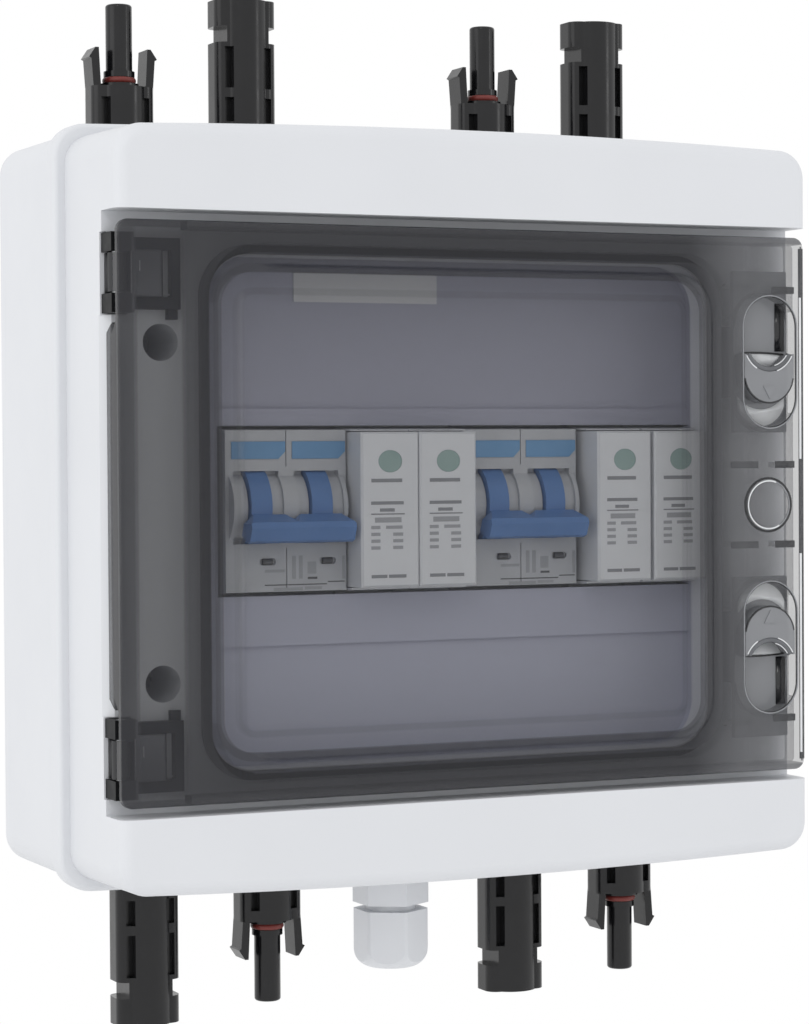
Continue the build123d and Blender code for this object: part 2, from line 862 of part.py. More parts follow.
def latch(level):
    """Sliding door latch: tray, thumb button with a scooped edge, and a hook."""
    def place(z):
        return module_z + level * z

    inner = slot_inner_z - tray_overlap
    outer = slot_inner_z + slot_length + tray_overlap + latch_travel
    low, high = sorted((place(inner), place(outer)))
    body = block(column_x - tray_width / 2, column_x + tray_width / 2, low, high,
                 latch_tray_back, latch_tray_front)
    radius = slot_width / 2 - button_clearance
    tip = slot_inner_z + button_inner_gap
    scoop = tip + button_length
    low, high = sorted((place(tip + radius), place(scoop + button_side_length)))
    outline = Pos(column_x, place(tip + radius)) * Circle(radius)
    outline += Pos(column_x, (low + high) / 2) * Rectangle(2 * radius, high - low)
    outline -= Pos(column_x, place(scoop + radius)) * Circle(radius)
    outline -= Pos(column_x, place(scoop + 2 * radius)) * Rectangle(slot_width, radius)
    button = slab(outline, latch_tray_front, button_depth)
    body += button
    arrow = place(tip + triangle_inset)
    arrow_face = Triangle(a=triangle_size, b=triangle_size, c=triangle_size)
    arrow_turn = 180 if level > 0 else 0
    body += slab(Pos(column_x, arrow) * Rot(0, 0, arrow_turn) * arrow_face,
                 button_depth, button_depth + triangle_height)
    low, high = sorted((place(hook_z - hook_thickness / 2), place(hook_z + hook_thickness / 2)))
    hook_end = floor_back - hook_reach
    body += block(column_x - hook_width / 2, column_x + hook_width / 2, low, high,
                  hook_end, latch_tray_back)
    nose_z = place(hook_z + hook_thickness / 2)
    low, high = sorted((nose_z, nose_z + level * hook_nose))
    body += block(column_x - hook_width / 2, column_x + hook_width / 2, low, high,
                  hook_end, hook_end + hook_nose)
    return body


def label():
    """Bare white sticker on the upper part of the panel."""
    return block(label_x - label_width / 2, label_x + label_width / 2, label_z - label_height / 2,
                 label_z + label_height / 2, panel_depth, panel_depth + label_thickness)


def din_rail():
    """Folded top-hat rail, 35 mm tall, with a slot over each post."""
    half, web = rail_height / 2, rail_web / 2
    sheet = rail_sheet
    points = [(rail_front, half), (rail_front, web - sheet), (rail_back + sheet, web - sheet),
              (rail_back + sheet, -web + sheet), (rail_front, -web + sheet), (rail_front, -half),
              (rail_front - sheet, -half), (rail_front - sheet, -web), (rail_back, -web),
              (rail_back, web), (rail_front - sheet, web), (rail_front - sheet, half)]
    points = [(depth, module_z + z) for depth, z in points]
    rail = profile_along_x(points, -rail_length / 2, rail_length / 2)
    for side in (-1, 1):
        hole = Pos(side * rail_screw_x, module_z) * SlotOverall(
            rail_slot_length, 2 * (rail_screw_radius + rail_slot_clearance))
        rail -= slab(hole, rail_back, rail_back + sheet)
    return rail


def rail_screws():
    """Two pan-head screws that hold the rail on its posts."""
    screws = Part()
    seat = rail_back + rail_sheet
    for side in (-1, 1):
        x = side * rail_screw_x
        head = front_rod(x, module_z, rail_screw_head, seat, seat + rail_screw_head_height)
        half = rail_screw_slot_width / 2
        head -= block(x - rail_screw_head, x + rail_screw_head, module_z - half, module_z + half,
                      seat + rail_screw_head_height - rail_screw_slot_depth,
                      seat + rail_screw_head_height)
        screws += head + front_rod(x, module_z, rail_screw_radius, wall + rail_screw_end_wall, seat)
    return screws


def module_profile(nose_depth):
    """Side outline of a rail-mounted module, from the rail hooks to the nose."""
    notch = rail_height / 2 + rail_clearance
    seat = rail_front + rail_clearance
    bevel_back = shoulder_depth - shoulder_bevel_depth
    bevel_z = module_half_height - shoulder_bevel_height
    nose_z = nose_half_height - nose_draft
    return [(module_back, module_half_height), (bevel_back, module_half_height),
            (shoulder_depth, bevel_z), (shoulder_depth, nose_half_height),
            (nose_depth, nose_z), (nose_depth, -nose_z), (shoulder_depth, -nose_half_height),
            (shoulder_depth, -bevel_z), (bevel_back, -module_half_height),
            (module_back, -module_half_height), (module_back, -notch), (seat, -notch),
            (seat, notch), (module_back, notch)]


def module_body(left, width, nose_depth):
    """Module block with rail seat, terminal holes and wire entries for each pole."""
    points = [(depth, module_z + z) for depth, z in module_profile(nose_depth)]
    return profile_along_x(points, left, left + width)


def terminal_cuts(centres):
    """Screw pits on the shoulders and wire entries at the ends."""
    cuts = Part()
    for x in centres:
        for level in (-1, 1):
            z = module_z + level * terminal_z
            cuts += front_rod(x, z, terminal_radius, shoulder_depth - terminal_recess, shoulder_depth)
            end = module_z + level * module_half_height
            low, high = sorted((end, end - level * entry_length))
            cuts += block(x - entry_size / 2, x + entry_size / 2, low, high,
                          entry_depth - entry_size / 2, entry_depth + entry_size / 2)
    return cuts


def terminal_screws(centres):
    """Slotted terminal screws at the foot of their pits."""
    screws = Part()
    foot = shoulder_depth - terminal_recess
    for x in centres:
        for level in (-1, 1):
            z = module_z + level * terminal_z
            head = front_rod(x, z, terminal_head_radius, foot, foot + terminal_head_height)
            half, top = terminal_slot_width / 2, foot + terminal_head_height
            head -= block(x - terminal_head_radius, x + terminal_head_radius, z - half, z + half,
                          top - terminal_slot_depth, top)
            screws += head
    return screws


def breaker_centres(left):
    """X of the two poles of a breaker."""
    return [left + pole_width / 2, left + 1.5 * pole_width]


def tab_outline(x, grow=0.0):
    """Tab with its lower right corner cut off."""
    half_width, half_height = tab_width / 2 + grow, tab_height / 2 + grow
    x, z = x + tab_shift, module_z + tab_z
    corners = [(x - half_width, z - half_height), (x + half_width - tab_bevel, z - half_height),
               (x + half_width, z - half_height + tab_bevel), (x + half_width, z + half_height),
               (x - half_width, z + half_height)]
    return make_face(Polyline(corners, close=True))


def breaker_case(left):
    """Two-pole breaker: stepped body, bowed middle with a cheek round each toggle, and tab seats."""
    width = 2 * pole_width
    nose = breaker_nose_depth
    bulge_front = toggle_axis_depth + bulge_radius
    body = module_body(left, width, nose)
    body += lying_rod(bulge_radius, toggle_axis_depth, toggle_axis_z, left + bulge_margin,
                      left + width - bulge_margin)
    body -= terminal_cuts(breaker_centres(left))
    seam = left + pole_width
    for low, high in ((module_z - nose_half_height, toggle_axis_z - bulge_radius),
                      (toggle_axis_z + bulge_radius, module_z + nose_half_height)):
        body -= block(seam - pole_seam / 2, seam + pole_seam / 2, low, high,
                      nose - pole_seam_depth, nose)
    for x in breaker_centres(left):
        body -= block(x - cheek_width / 2, x + cheek_width / 2,
                      toggle_axis_z - cheek_pocket_half_height,
                      toggle_axis_z + cheek_pocket_half_height, nose - cheek_pocket_depth, bulge_front)
        body += lying_rod(cheek_radius, toggle_axis_depth, toggle_axis_z, x - cheek_width / 2,
                          x + cheek_width / 2)
        half = toggle_disc_width / 2 + toggle_clearance
        body -= lying_rod(toggle_disc_radius + toggle_clearance, toggle_axis_depth, toggle_axis_z,
                          x - half, x + half)
        body -= slab(tab_outline(x, tab_clearance), nose - tab_recess, nose)
        marker = Pos(x + marker_shift, module_z + marker_z) * SlotOverall(marker_width, marker_height)
        body -= slab(marker, nose - marker_recess, nose)
    return body


def toggle_bar(left):
    """Wide bar across both poles, with sloping shoulders and a notch between the poles."""
    inner = bulge_radius + toggle_clearance
    half = toggle_bar_thickness / 2
    bevel = toggle_bar_bevel
    corners = [(inner, -half), (toggle_bar_reach - bevel, -half), (toggle_bar_reach, bevel - half),
               (toggle_bar_reach, half - bevel), (toggle_bar_reach - bevel, half), (inner, half)]
    start = left + toggle_bar_left
    end = left + 2 * pole_width - toggle_bar_right
    seam = left + pole_width
    bar = profile_along_x(toggle_turned(corners), start, end)
    top = max(z for _, z in toggle_turned(corners))
    shoulder, notch = toggle_bar_shoulder, toggle_notch_half_width
    wedges = [[(start, top), (start + shoulder, top), (start, top - shoulder)],
              [(end, top), (end - shoulder, top), (end, top - shoulder)],
              [(seam - notch, top), (seam + notch, top), (seam, top - toggle_notch_depth)]]
    for wedge in wedges:
        face = make_face(Polyline(wedge, close=True))
        bar -= slab(face, toggle_axis_depth, toggle_axis_depth + 2 * toggle_bar_reach)
    return bar


def breaker_toggle(left):
    """Twin toggle: a disc in each slot, a pivot between them and one wide bar across both."""
    body = lying_rod(toggle_pivot_radius, toggle_axis_depth, toggle_axis_z,
                     left + pole_width / 2, left + 1.5 * pole_width)
    inner = bulge_radius + toggle_clearance
    half = toggle_bar_thickness / 2
    stem = toggle_disc_radius - toggle_stem_foot
    stem_end = inner + toggle_stem_overlap
    stem_corners = [(stem, -half), (stem_end, -half), (stem_end, half), (stem, half)]
    half_width = toggle_disc_width / 2
    for x in breaker_centres(left):
        body += lying_rod(toggle_disc_radius, toggle_axis_depth, toggle_axis_z, x - half_width,
                          x + half_width)
        body += profile_along_x(toggle_turned(stem_corners), x - half_width, x + half_width)
    return body + toggle_bar(left)


def toggle_turned(corners):
    """Corners given as radius and offset from the pivot, turned to the rest position."""
    turn = math.radians(toggle_rest_angle)
    return [(toggle_axis_depth + r * math.cos(turn) - t * math.sin(turn),
             toggle_axis_z + r * math.sin(turn) + t * math.cos(turn)) for r, t in corners]


def toggle_pivot_cut(left):
    """Bore through the case for the pivot between the two discs."""
    return lying_rod(toggle_pivot_radius + thread_clearance, toggle_axis_depth, toggle_axis_z,
                     left + pole_width / 2, left + 1.5 * pole_width)


def breaker_tabs(left):
    """Two coloured label tabs set into the nose of a breaker."""
    tabs = Part()
    for x in breaker_centres(left):
        tabs += slab(tab_outline(x), breaker_nose_depth - tab_recess, breaker_nose_depth + tab_proud)
    return tabs


def arrester_base(left):
    """Single-pole socket: shoulders with terminals, and a deep bay for the cartridge."""
    centre = left + arrester_width / 2
    body = module_body(left, arrester_width, arrester_wall_depth)
    body -= terminal_cuts([centre])
    top = module_z + cartridge_top + cartridge_gap
    bottom = module_z - cartridge_bottom - cartridge_gap
    body -= block(left, left + arrester_width, bottom, top, shoulder_depth, arrester_wall_depth)
    stem = cartridge_stem_width / 2 + cartridge_play
    reach = cartridge_stem_height / 2 + cartridge_play
    body -= block(centre - stem, centre + stem, module_z - reach, module_z + reach,
                  cartridge_stem_back - cartridge_play, shoulder_depth)
    for level in (-1, 1):
        z = module_z + level * blade_z
        half_width = blade_width / 2 + blade_clearance
        half_thick = blade_thickness / 2 + blade_clearance
        body -= block(centre - half_width, centre + half_width, z - half_thick, z + half_thick,
                      cartridge_stem_back - blade_length - blade_clearance, cartridge_stem_back)
    return body


def status_outline(left, grow=0.0):
    """Oval of the status window."""
    return Pos(left + arrester_width / 2, module_z + status_z) * Ellipse(
        status_half_width + grow, status_half_height + grow)


def arrester_cartridge(left):
    """Plug-in cartridge: white front, narrow stem and two contact blades."""
    centre = left + arrester_width / 2
    top = module_z + cartridge_top
    bottom = module_z - cartridge_bottom
    front = block(left, left + arrester_width, bottom, top, shoulder_depth + cartridge_gap,
                  cartridge_front)
    front = chamfer(edges_at_depth(front, cartridge_front), cartridge_edge)
    half = cartridge_stem_width / 2
    reach = cartridge_stem_height / 2
    body = front + block(centre - half, centre + half, module_z - reach, module_z + reach,
                         cartridge_stem_back, shoulder_depth + cartridge_gap + part_overlap)
    for level in (-1, 1):
        z = module_z + level * blade_z
        body += block(centre - blade_width / 2, centre + blade_width / 2, z - blade_thickness / 2,
                      z + blade_thickness / 2, cartridge_stem_back - blade_length,
                      cartridge_stem_back + part_overlap)
    return body - slab(status_outline(left, status_clearance), cartridge_front - status_recess,
                       cartridge_front)


def status_window(left):
    """Green status lens in the front of a cartridge."""
    return slab(status_outline(left), cartridge_front - status_recess, cartridge_front - status_inset)


def outward(row, distance):
    """Height at a distance outside the top (1) or bottom (-1) wall."""
    return row * (base_top + distance)


def span(row, near, far):
    """Lower and upper height between two distances outside a wall."""
    return sorted((outward(row, near), outward(row, far)))


def plug_section(x, depth, row, near, far):
    """Plug body between two distances from the wall: a round barrel with a wing on each side."""
    low, high = span(row, near, far)
    outline = Circle(plug_thickness / 2) + RectangleRounded(plug_width, plug_wing_thickness, plug_corner)
    return extrude(Plane.XY.offset(low) * Pos(x, -depth) * outline, high - low)


def plug_rod(x, depth, row, radius, near, far):
    """Round rod of a plug between two distances from the wall."""
    low, high = span(row, near, far)
    return upright_rod(x, depth, radius, low, high)


def side_slots(x, depth, row, near, far):
    """Four grooves beside the barrel, two on the front and two on the back of a plug body."""
    low, high = span(row, near, far)
    cuts = Part()
    for side in (-1, 1):
        centre = x + side * side_slot_x
        for face in (-1, 1):
            shallow = depth + face * plug_thickness / 2
            deep = depth + face * (plug_wing_thickness / 2 - side_slot_cut)
            cuts += block(centre - side_slot_width / 2, centre + side_slot_width / 2, low, high,
                          min(shallow, deep), max(shallow, deep))
    return cuts


def plug_root(x, depth, row):
    """Threaded root that passes through the wall of the box."""
    return plug_rod(x, depth, row, plug_thread_radius, washer_thickness - plug_thread_length,
                    washer_thickness)


def female_housing(x, row):
    """Socket half: deep barrel with a notched head and grooved flanks."""
    depth = row_depth(row)
    body = plug_section(x, depth, row, washer_thickness, female_length)
    notch_top = female_length - female_head
    low, high = span(row, notch_top - female_notch, notch_top)
    for side in (-1, 1):
        left, right = sorted((x + side * plug_width, x + side * (plug_width / 2 - female_notch_cut)))
        body -= block(left, right, low, high, depth - plug_thickness, depth + plug_thickness)
    body -= side_slots(x, depth, row, long_slot_start, long_slot_end)
    body -= side_slots(x, depth, row, short_slot_start, short_slot_end)
    body += plug_root(x, depth, row)
    body -= plug_rod(x, depth, row, socket_radius, female_length - socket_length, female_length)
    body -= plug_rod(x, depth, row, socket_mouth_radius, female_length - socket_mouth_length,
                     female_length)
    return body


def male_housing(x, row):
    """Pin half: grooved base, sleeve with its O-ring seat and two latch arms."""
    depth = row_depth(row)
    body = plug_section(x, depth, row, washer_thickness, male_base)
    body -= side_slots(x, depth, row, male_slot_start, male_slot_end)
    body += plug_root(x, depth, row)
    ring_foot = male_base + male_collar_height
    ring_top = ring_foot + 2 * oring_section
    body += plug_rod(x, depth, row, male_collar_radius, male_base, ring_foot)
    body += plug_rod(x, depth, row, oring_radius - oring_section, ring_foot, ring_top)
    body += plug_rod(x, depth, row, male_shoulder_radius, ring_top, ring_top + male_shoulder_height)
    sleeve = plug_rod(x, depth, row, sleeve_radius, ring_top + male_shoulder_height, male_tip)
    tip = sleeve.edges().filter_by(lambda e: abs(e.center().Z - outward(row, male_tip)) < 0.01)
    body += fillet(tip, sleeve_tip_round)
    body -= plug_rod(x, depth, row, sleeve_bore, male_tip - sleeve_bore_length, male_tip)
    for side in (-1, 1):
        body += latch_arm(x, depth, row, side)
    return body


def latch_arm(x, depth, row, side):
    """Springy arm with a barb at its end."""
    outer = plug_width / 2 - arm_inset
    top = male_base + arm_length
    barb_foot = top - arm_barb_height
    leaned = outer + arm_lean
    points = [(outer - arm_thickness, male_base - arm_root), (outer, male_base - arm_root),
              (leaned, barb_foot), (leaned + arm_barb, barb_foot + arm_barb_rise),
              (leaned - arm_thickness + arm_tip_width, top), (leaned - arm_thickness, top)]
    places = [(x + side * across, -depth + arm_width / 2, outward(row, along))
              for across, along in points]
    face = make_face(Polyline(places, close=True))
    return extrude(face, arm_width, dir=(0, -1, 0))


def orings():
    """Red sealing rings at the foot of the male sleeves."""
    rings = Part()
    for row in (-1, 1):
        for x, male in plug_places(row):
            if male:
                centre = outward(row, male_base + male_collar_height + oring_section)
                plane = Plane(origin=(x, -row_depth(row), centre), z_dir=(0, 0, 1))
                rings += plane * Torus(oring_radius, oring_section)
    return rings


def plug_contacts(male_kind):
    """Metal contact rods inside the plugs of one kind."""
    rods = Part()
    for row in (-1, 1):
        for x, male in plug_places(row):
            if male == male_kind:
                depth = row_depth(row)
                if male:
                    pin_tip = male_tip - pin_tip_inset
                    rods += plug_rod(x, depth, row, sleeve_bore, male_tip - sleeve_bore_length, pin_tip)
                    rods -= plug_rod(x, depth, row, contact_radius - contact_wall,
                                     pin_tip - pin_hole_length, pin_tip)
                else:
                    rods += plug_rod(x, depth, row, contact_radius, female_length - socket_length,
                                     female_length - female_contact_tip)
    return rods


def hex_ring(x, depth, bottom, top, flats, hole):
    """Hexagonal nut along Z with a round hole."""
    outline = RegularPolygon(flats / 2, 6, major_radius=False, rotation=30) - Circle(hole)
    return extrude(Plane.XY.offset(bottom) * Pos(x, -depth) * outline, top - bottom)


def panel_nuts():
    """Hexagonal nuts inside the box, one on each plug."""
    nuts = Part()
    for row in (-1, 1):
        low, high = span(row, -wall - panel_nut_thickness, -wall)
        for x, _ in plug_places(row):
            nuts += hex_ring(x, row_depth(row), low, high, panel_nut_flats,
                             plug_thread_radius + thread_clearance)
    return nuts


def panel_washers():
    """Rubber washers between the plugs and the box."""
    rings = Part()
    for row in (-1, 1):
        low, high = span(row, 0, washer_thickness)
        for x, _ in plug_places(row):
            outline = Circle(washer_radius) - Circle(plug_thread_radius + thread_clearance)
            depth = row_depth(row)
            rings += extrude(Plane.XY.offset(low) * Pos(x, -depth) * outline, high - low)
    return rings


def gland_span(near, far):
    """Lower and upper height between two distances below the box."""
    return span(-1, near, far)


def gland_body():
    """Gland body: hexagon outside, thread through the wall and neck for the dome nut."""
    low, high = gland_span(washer_thickness, washer_thickness + gland_hex_length)
    body = hex_ring(gland_x, bottom_row_depth, low, high, gland_flats, gland_body_bore)
    neck_end = washer_thickness + gland_hex_length + gland_neck_gap + gland_neck_overlap
    neck = plug_rod(gland_x, bottom_row_depth, -1, gland_neck_radius,
                    washer_thickness + gland_hex_length, neck_end)
    neck -= plug_rod(gland_x, bottom_row_depth, -1, insert_radius + gland_fit,
                     washer_thickness + gland_hex_length, neck_end)
    thread = plug_rod(gland_x, bottom_row_depth, -1, gland_thread_radius,
                      washer_thickness - gland_thread_length, washer_thickness)
    thread -= plug_rod(gland_x, bottom_row_depth, -1, gland_body_bore,
                       washer_thickness - gland_thread_length, washer_thickness)
    return body + neck + thread


def gland_nut():
    """Dome nut: hexagon with a rounded end and a cable hole."""
    start = washer_thickness + gland_hex_length + gland_neck_gap
    end = start + gland_nut_length
    low, high = gland_span(start, end)
    nut = hex_ring(gland_x, bottom_row_depth, low, high, gland_flats, gland_cable_radius)
    dome = plug_rod(gland_x, bottom_row_depth, -1, gland_flats / 2 + gland_dome_reach, start, end)
    mouth = dome.edges().filter_by(lambda e: abs(e.center().Z - low) < 0.01)
    nut = nut & fillet(mouth, gland_dome_round)
    return nut - plug_rod(gland_x, bottom_row_depth, -1, gland_neck_radius + gland_fit,
                          start, end - gland_dome - gland_nut_wall)


def gland_insert():
    """Rubber sleeve that the dome nut squeezes round the cable."""
    start = washer_thickness + gland_hex_length
    end = start + gland_neck_gap + gland_nut_length - gland_dome - gland_nut_wall - insert_wall_gap
    outline = Circle(insert_radius) - Circle(gland_cable_radius)
    low, high = gland_span(start, end)
    return extrude(Plane.XY.offset(low) * Pos(gland_x, -bottom_row_depth) * outline, high - low)


def gland_washer():
    """Flat seal between the gland body and the box."""
    low, high = gland_span(0, washer_thickness)
    outline = Circle(gland_washer_radius) - Circle(gland_thread_radius + thread_clearance)
    return extrude(Plane.XY.offset(low) * Pos(gland_x, -bottom_row_depth) * outline, high - low)


def gland_locknut():
    """Hexagonal nut that holds the gland from inside the box."""
    low, high = gland_span(-wall - gland_locknut_thickness, -wall)
    return hex_ring(gland_x, bottom_row_depth, low, high, gland_locknut_flats,
                    gland_thread_radius + thread_clearance)


def module_row():
    """Kind, number and left edge of each module that fits in the window, from the left."""
    order = [("breaker", 1, row_start_gap), ("arrester", 1, gap_after_breaker_1),
             ("arrester", 2, gap_after_arrester_1), ("breaker", 2, gap_after_arrester_2),
             ("arrester", 3, gap_after_breaker_2), ("arrester", 4, gap_after_arrester_3)]
    widths = {"breaker": 2 * pole_width, "arrester": arrester_width}
    row = []
    edge = cutout_left
    for kind, number, gap in order:
        edge += gap
        if edge + widths[kind] < window_right:
            row.append((kind, number, edge))
        edge += widths[kind]
    return row


def modules():
    """Breakers and arresters of the row, with their terminal screws."""
    pieces = {}
    poles = {"breaker": [], "arrester": []}
    for kind, number, left in module_row():
        name = f"{kind}_{number}"
        if kind == "breaker":
            pieces[f"{name}_case"] = breaker_case(left) - toggle_pivot_cut(left)
            pieces[f"{name}_toggle"] = breaker_toggle(left)
            pieces[f"{name}_tabs"] = breaker_tabs(left)
            poles[kind] += breaker_centres(left)
        else:
            pieces[f"{name}_base"] = arrester_base(left)
            pieces[f"{name}_cartridge"] = arrester_cartridge(left)
            pieces[f"{name}_window"] = status_window(left)
            poles[kind].append(left + arrester_width / 2)
    pieces["breaker_screws"] = terminal_screws(poles["breaker"])
    pieces["arrester_screws"] = terminal_screws(poles["arrester"])
    return pieces


def assembly():
    """Every piece of the junction box by name."""
    pieces = {
        "back_box": back_box(),
        "cover_seal": cover_seal(),
        "front_cover": front_cover(),
        "cover_screws": cover_screws(),
        "door": door(),
        "door_seal": door_seal(),
        "hinge_bracket_upper": hinge_bracket(1),
        "hinge_bracket_lower": hinge_bracket(-1),
        "hinge_pins": hinge_pins(),
        "latch_upper": latch(1),
        "latch_lower": latch(-1),
        "label": label(),
        "din_rail": din_rail(),
        "rail_screws": rail_screws(),
        "orings": orings(),
        "male_contacts": plug_contacts(True),
        "female_contacts": plug_contacts(False),
        "panel_nuts": panel_nuts(),
        "panel_washers": panel_washers(),
        "gland_body": gland_body(),
        "gland_nut": gland_nut(),
        "gland_insert": gland_insert(),
        "gland_washer": gland_washer(),
        "gland_locknut": gland_locknut(),
    }
    pieces.update(modules())
    for row, row_name in ((1, "top"), (-1, "bottom")):
        for number, (x, male) in enumerate(plug_places(row), 1):
            kind = "male" if male else "female"
            make = male_housing if male else female_housing
            pieces[f"{row_name}_plug_{number}_{kind}"] = make(x, row)
    return pieces


for name, shape in assembly().items():
    export_step(shape, f"parts/{name}.step")
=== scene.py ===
"""Looks of a wall-mounted solar junction box: finishes, printed marks, trim and stage."""

import json
import math

import bmesh
import bpy
from mathutils import Matrix, Vector
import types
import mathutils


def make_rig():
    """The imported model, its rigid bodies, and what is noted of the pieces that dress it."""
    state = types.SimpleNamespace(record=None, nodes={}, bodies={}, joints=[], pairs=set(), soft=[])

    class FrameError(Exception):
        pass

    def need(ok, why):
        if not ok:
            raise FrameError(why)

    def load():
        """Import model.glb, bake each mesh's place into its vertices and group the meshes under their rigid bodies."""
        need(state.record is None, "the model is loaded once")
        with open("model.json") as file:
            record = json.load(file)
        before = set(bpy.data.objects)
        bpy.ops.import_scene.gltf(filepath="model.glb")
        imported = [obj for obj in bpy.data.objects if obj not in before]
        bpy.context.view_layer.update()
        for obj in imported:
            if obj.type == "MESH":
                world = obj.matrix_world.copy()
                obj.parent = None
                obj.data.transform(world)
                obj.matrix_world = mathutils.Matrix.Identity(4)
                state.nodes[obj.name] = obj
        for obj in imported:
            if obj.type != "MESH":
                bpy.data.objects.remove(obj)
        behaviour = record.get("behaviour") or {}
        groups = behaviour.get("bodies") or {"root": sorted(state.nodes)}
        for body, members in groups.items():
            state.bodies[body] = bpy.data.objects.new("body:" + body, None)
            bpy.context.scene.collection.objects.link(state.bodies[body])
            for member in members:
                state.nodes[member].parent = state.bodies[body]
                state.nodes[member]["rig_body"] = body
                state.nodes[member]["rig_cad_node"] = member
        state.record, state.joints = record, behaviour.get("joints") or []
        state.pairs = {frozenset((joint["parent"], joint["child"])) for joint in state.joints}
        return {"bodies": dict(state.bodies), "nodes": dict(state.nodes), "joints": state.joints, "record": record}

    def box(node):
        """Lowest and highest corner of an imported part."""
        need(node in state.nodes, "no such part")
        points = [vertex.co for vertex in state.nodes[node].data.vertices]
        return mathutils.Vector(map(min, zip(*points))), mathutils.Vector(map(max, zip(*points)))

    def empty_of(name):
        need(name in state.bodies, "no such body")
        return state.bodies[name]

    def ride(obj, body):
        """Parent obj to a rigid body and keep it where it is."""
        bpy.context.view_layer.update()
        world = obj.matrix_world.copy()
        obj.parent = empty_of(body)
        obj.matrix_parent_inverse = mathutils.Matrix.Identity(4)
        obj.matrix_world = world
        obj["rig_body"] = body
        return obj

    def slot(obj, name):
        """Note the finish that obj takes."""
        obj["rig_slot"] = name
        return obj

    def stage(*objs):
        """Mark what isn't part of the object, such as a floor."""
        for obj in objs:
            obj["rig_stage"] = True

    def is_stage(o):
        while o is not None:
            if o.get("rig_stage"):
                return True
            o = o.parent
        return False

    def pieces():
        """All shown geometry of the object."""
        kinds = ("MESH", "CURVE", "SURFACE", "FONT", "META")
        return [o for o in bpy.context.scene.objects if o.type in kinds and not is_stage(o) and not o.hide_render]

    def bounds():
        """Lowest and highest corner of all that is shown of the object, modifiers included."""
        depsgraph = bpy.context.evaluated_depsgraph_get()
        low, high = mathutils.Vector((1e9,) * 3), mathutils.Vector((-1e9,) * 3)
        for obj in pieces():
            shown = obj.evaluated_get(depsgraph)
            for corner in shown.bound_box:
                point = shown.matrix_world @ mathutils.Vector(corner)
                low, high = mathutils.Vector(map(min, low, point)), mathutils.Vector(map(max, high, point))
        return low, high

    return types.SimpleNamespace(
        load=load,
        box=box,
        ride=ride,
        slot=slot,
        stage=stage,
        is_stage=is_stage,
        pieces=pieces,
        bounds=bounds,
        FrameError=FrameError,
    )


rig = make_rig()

bl_info = {
    "name": "Solar Junction Box Looks",
    "version": (1, 0, 0),
    "blender": (4, 5, 0),
    "location": "View3D > Sidebar > Junction Box",
    "description": "Finishes and details for the solar junction box",
    "category": "Object",
}

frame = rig.load()
CAD_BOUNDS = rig.bounds()

MM = 0.001
# Sizes and places are in millimetres: X to the right, depth from the wall and Z up.
# Front faces of the breakers, the door, the latch buttons and the pale floors of the latches.
BREAKER_FACE, DOOR_FACE, BUTTON_FACE, FLOOR_FACE = 80.0, 98.8, 98.4, 93.6
# Middle, half sizes and corner of the clear pane; its middle height is the door's own.
PANE_X, PANE_Z = -2.8, -1.0
PANE_HALF_X, PANE_HALF_Z, PANE_CORNER = 72.4, 63.2, 9.0
# Half height of the door, middle and half width of its ribbed frame, and X of its right edge.
DOOR_HALF, FRAME_MIDDLE, FRAME_HALF, RIGHT_X = 76.0, -0.2, 84.8, 102.0
# Width of the painted shade along the door's top and bottom edges, and the left flank's less shaded part: its half
# height and the length over which it ends.
SHADE_RIM_WIDTH, UNSHADED_HALF, SHADE_FADE = 1.8, 64.0, 18.0
# Short dark ribs behind the door that paint shade: left end, right end, and distance above and below its middle.
SHADE_RIBS = ((81.0, 89.6, 11.4), (95.6, 101.7, 11.4), (94.7, 101.7, 61.2))
# Lowest and highest point of each painted highlight along the door's right edge.
HIGHLIGHT_STRETCHES = ((12.0, 58.0), (-72.0, -15.0))
# Latches: X of their middle line, and distance of their openings from the door's middle.
LATCH_X, LATCH_OFFSET = 92.0, 40.6
# Round ends and half the straight sides of a latch opening.
SLOT_RADIUS, SLOT_HALF = 8.5, 10.0
# Middles of the thumb scoop and of the button's round tip, from the door's middle.
SCOOP_OFFSET, TIP_OFFSET = 46.1, 37.1
# Round lock window between the latches.
LENS_X, LENS_RADIUS = LATCH_X - 0.8, 6.8
# Hinge axis, and the heights of the two hinges.
HINGE_X, HINGE_DEPTH, HINGE_HEIGHTS = -101.2, 92.0, (61.6, -64.6)
# Hinge brackets: depth where the raised pads start, and left edge of the frame behind the door.
PAD_DEPTH, BRACKET_X = 91.4, -98.05
# Inner panel of the cover: half sizes, depth of its front, and heights where its painted shade changes.
PANEL_HALF_X, PANEL_HALF_Z, PANEL_DEPTH, PANEL_SHADE = 81.0, 71.0, 79.0, (-45.0, 35.0)

# How much of the light the door stops, by distance from the pane's edge; the denser bands round the pane are painted
# shade of the recess behind the frame.
PANE_COVER = ((-8.0, 0.2), (-6.2, 0.22), (-5.8, 0.3), (-4.4, 0.3), (-4.0, 0.24), (-0.3, 0.27),
              (0.0, 0.62), (1.9, 0.62), (2.3, 0.5), (4.9, 0.5), (5.3, 0.58), (10.0, 0.58))
# The same beside the frame: in general, on the left flank, its outer edge and the right flank; painted shade on the
# left, painted light on the right.
FLANK_COVER, LEFT_COVER, LEFT_EDGE_COVER, RIGHT_COVER = 0.5, 0.33, 0.62, 0.27
# The same for the latches, the door's edges, whose top and bottom bands are painted shade, and the painted shade
# lines.
LATCH_COVER, EDGE_COVER, PAINTED_SHADE_COVER = 0.75, 0.7, 0.85

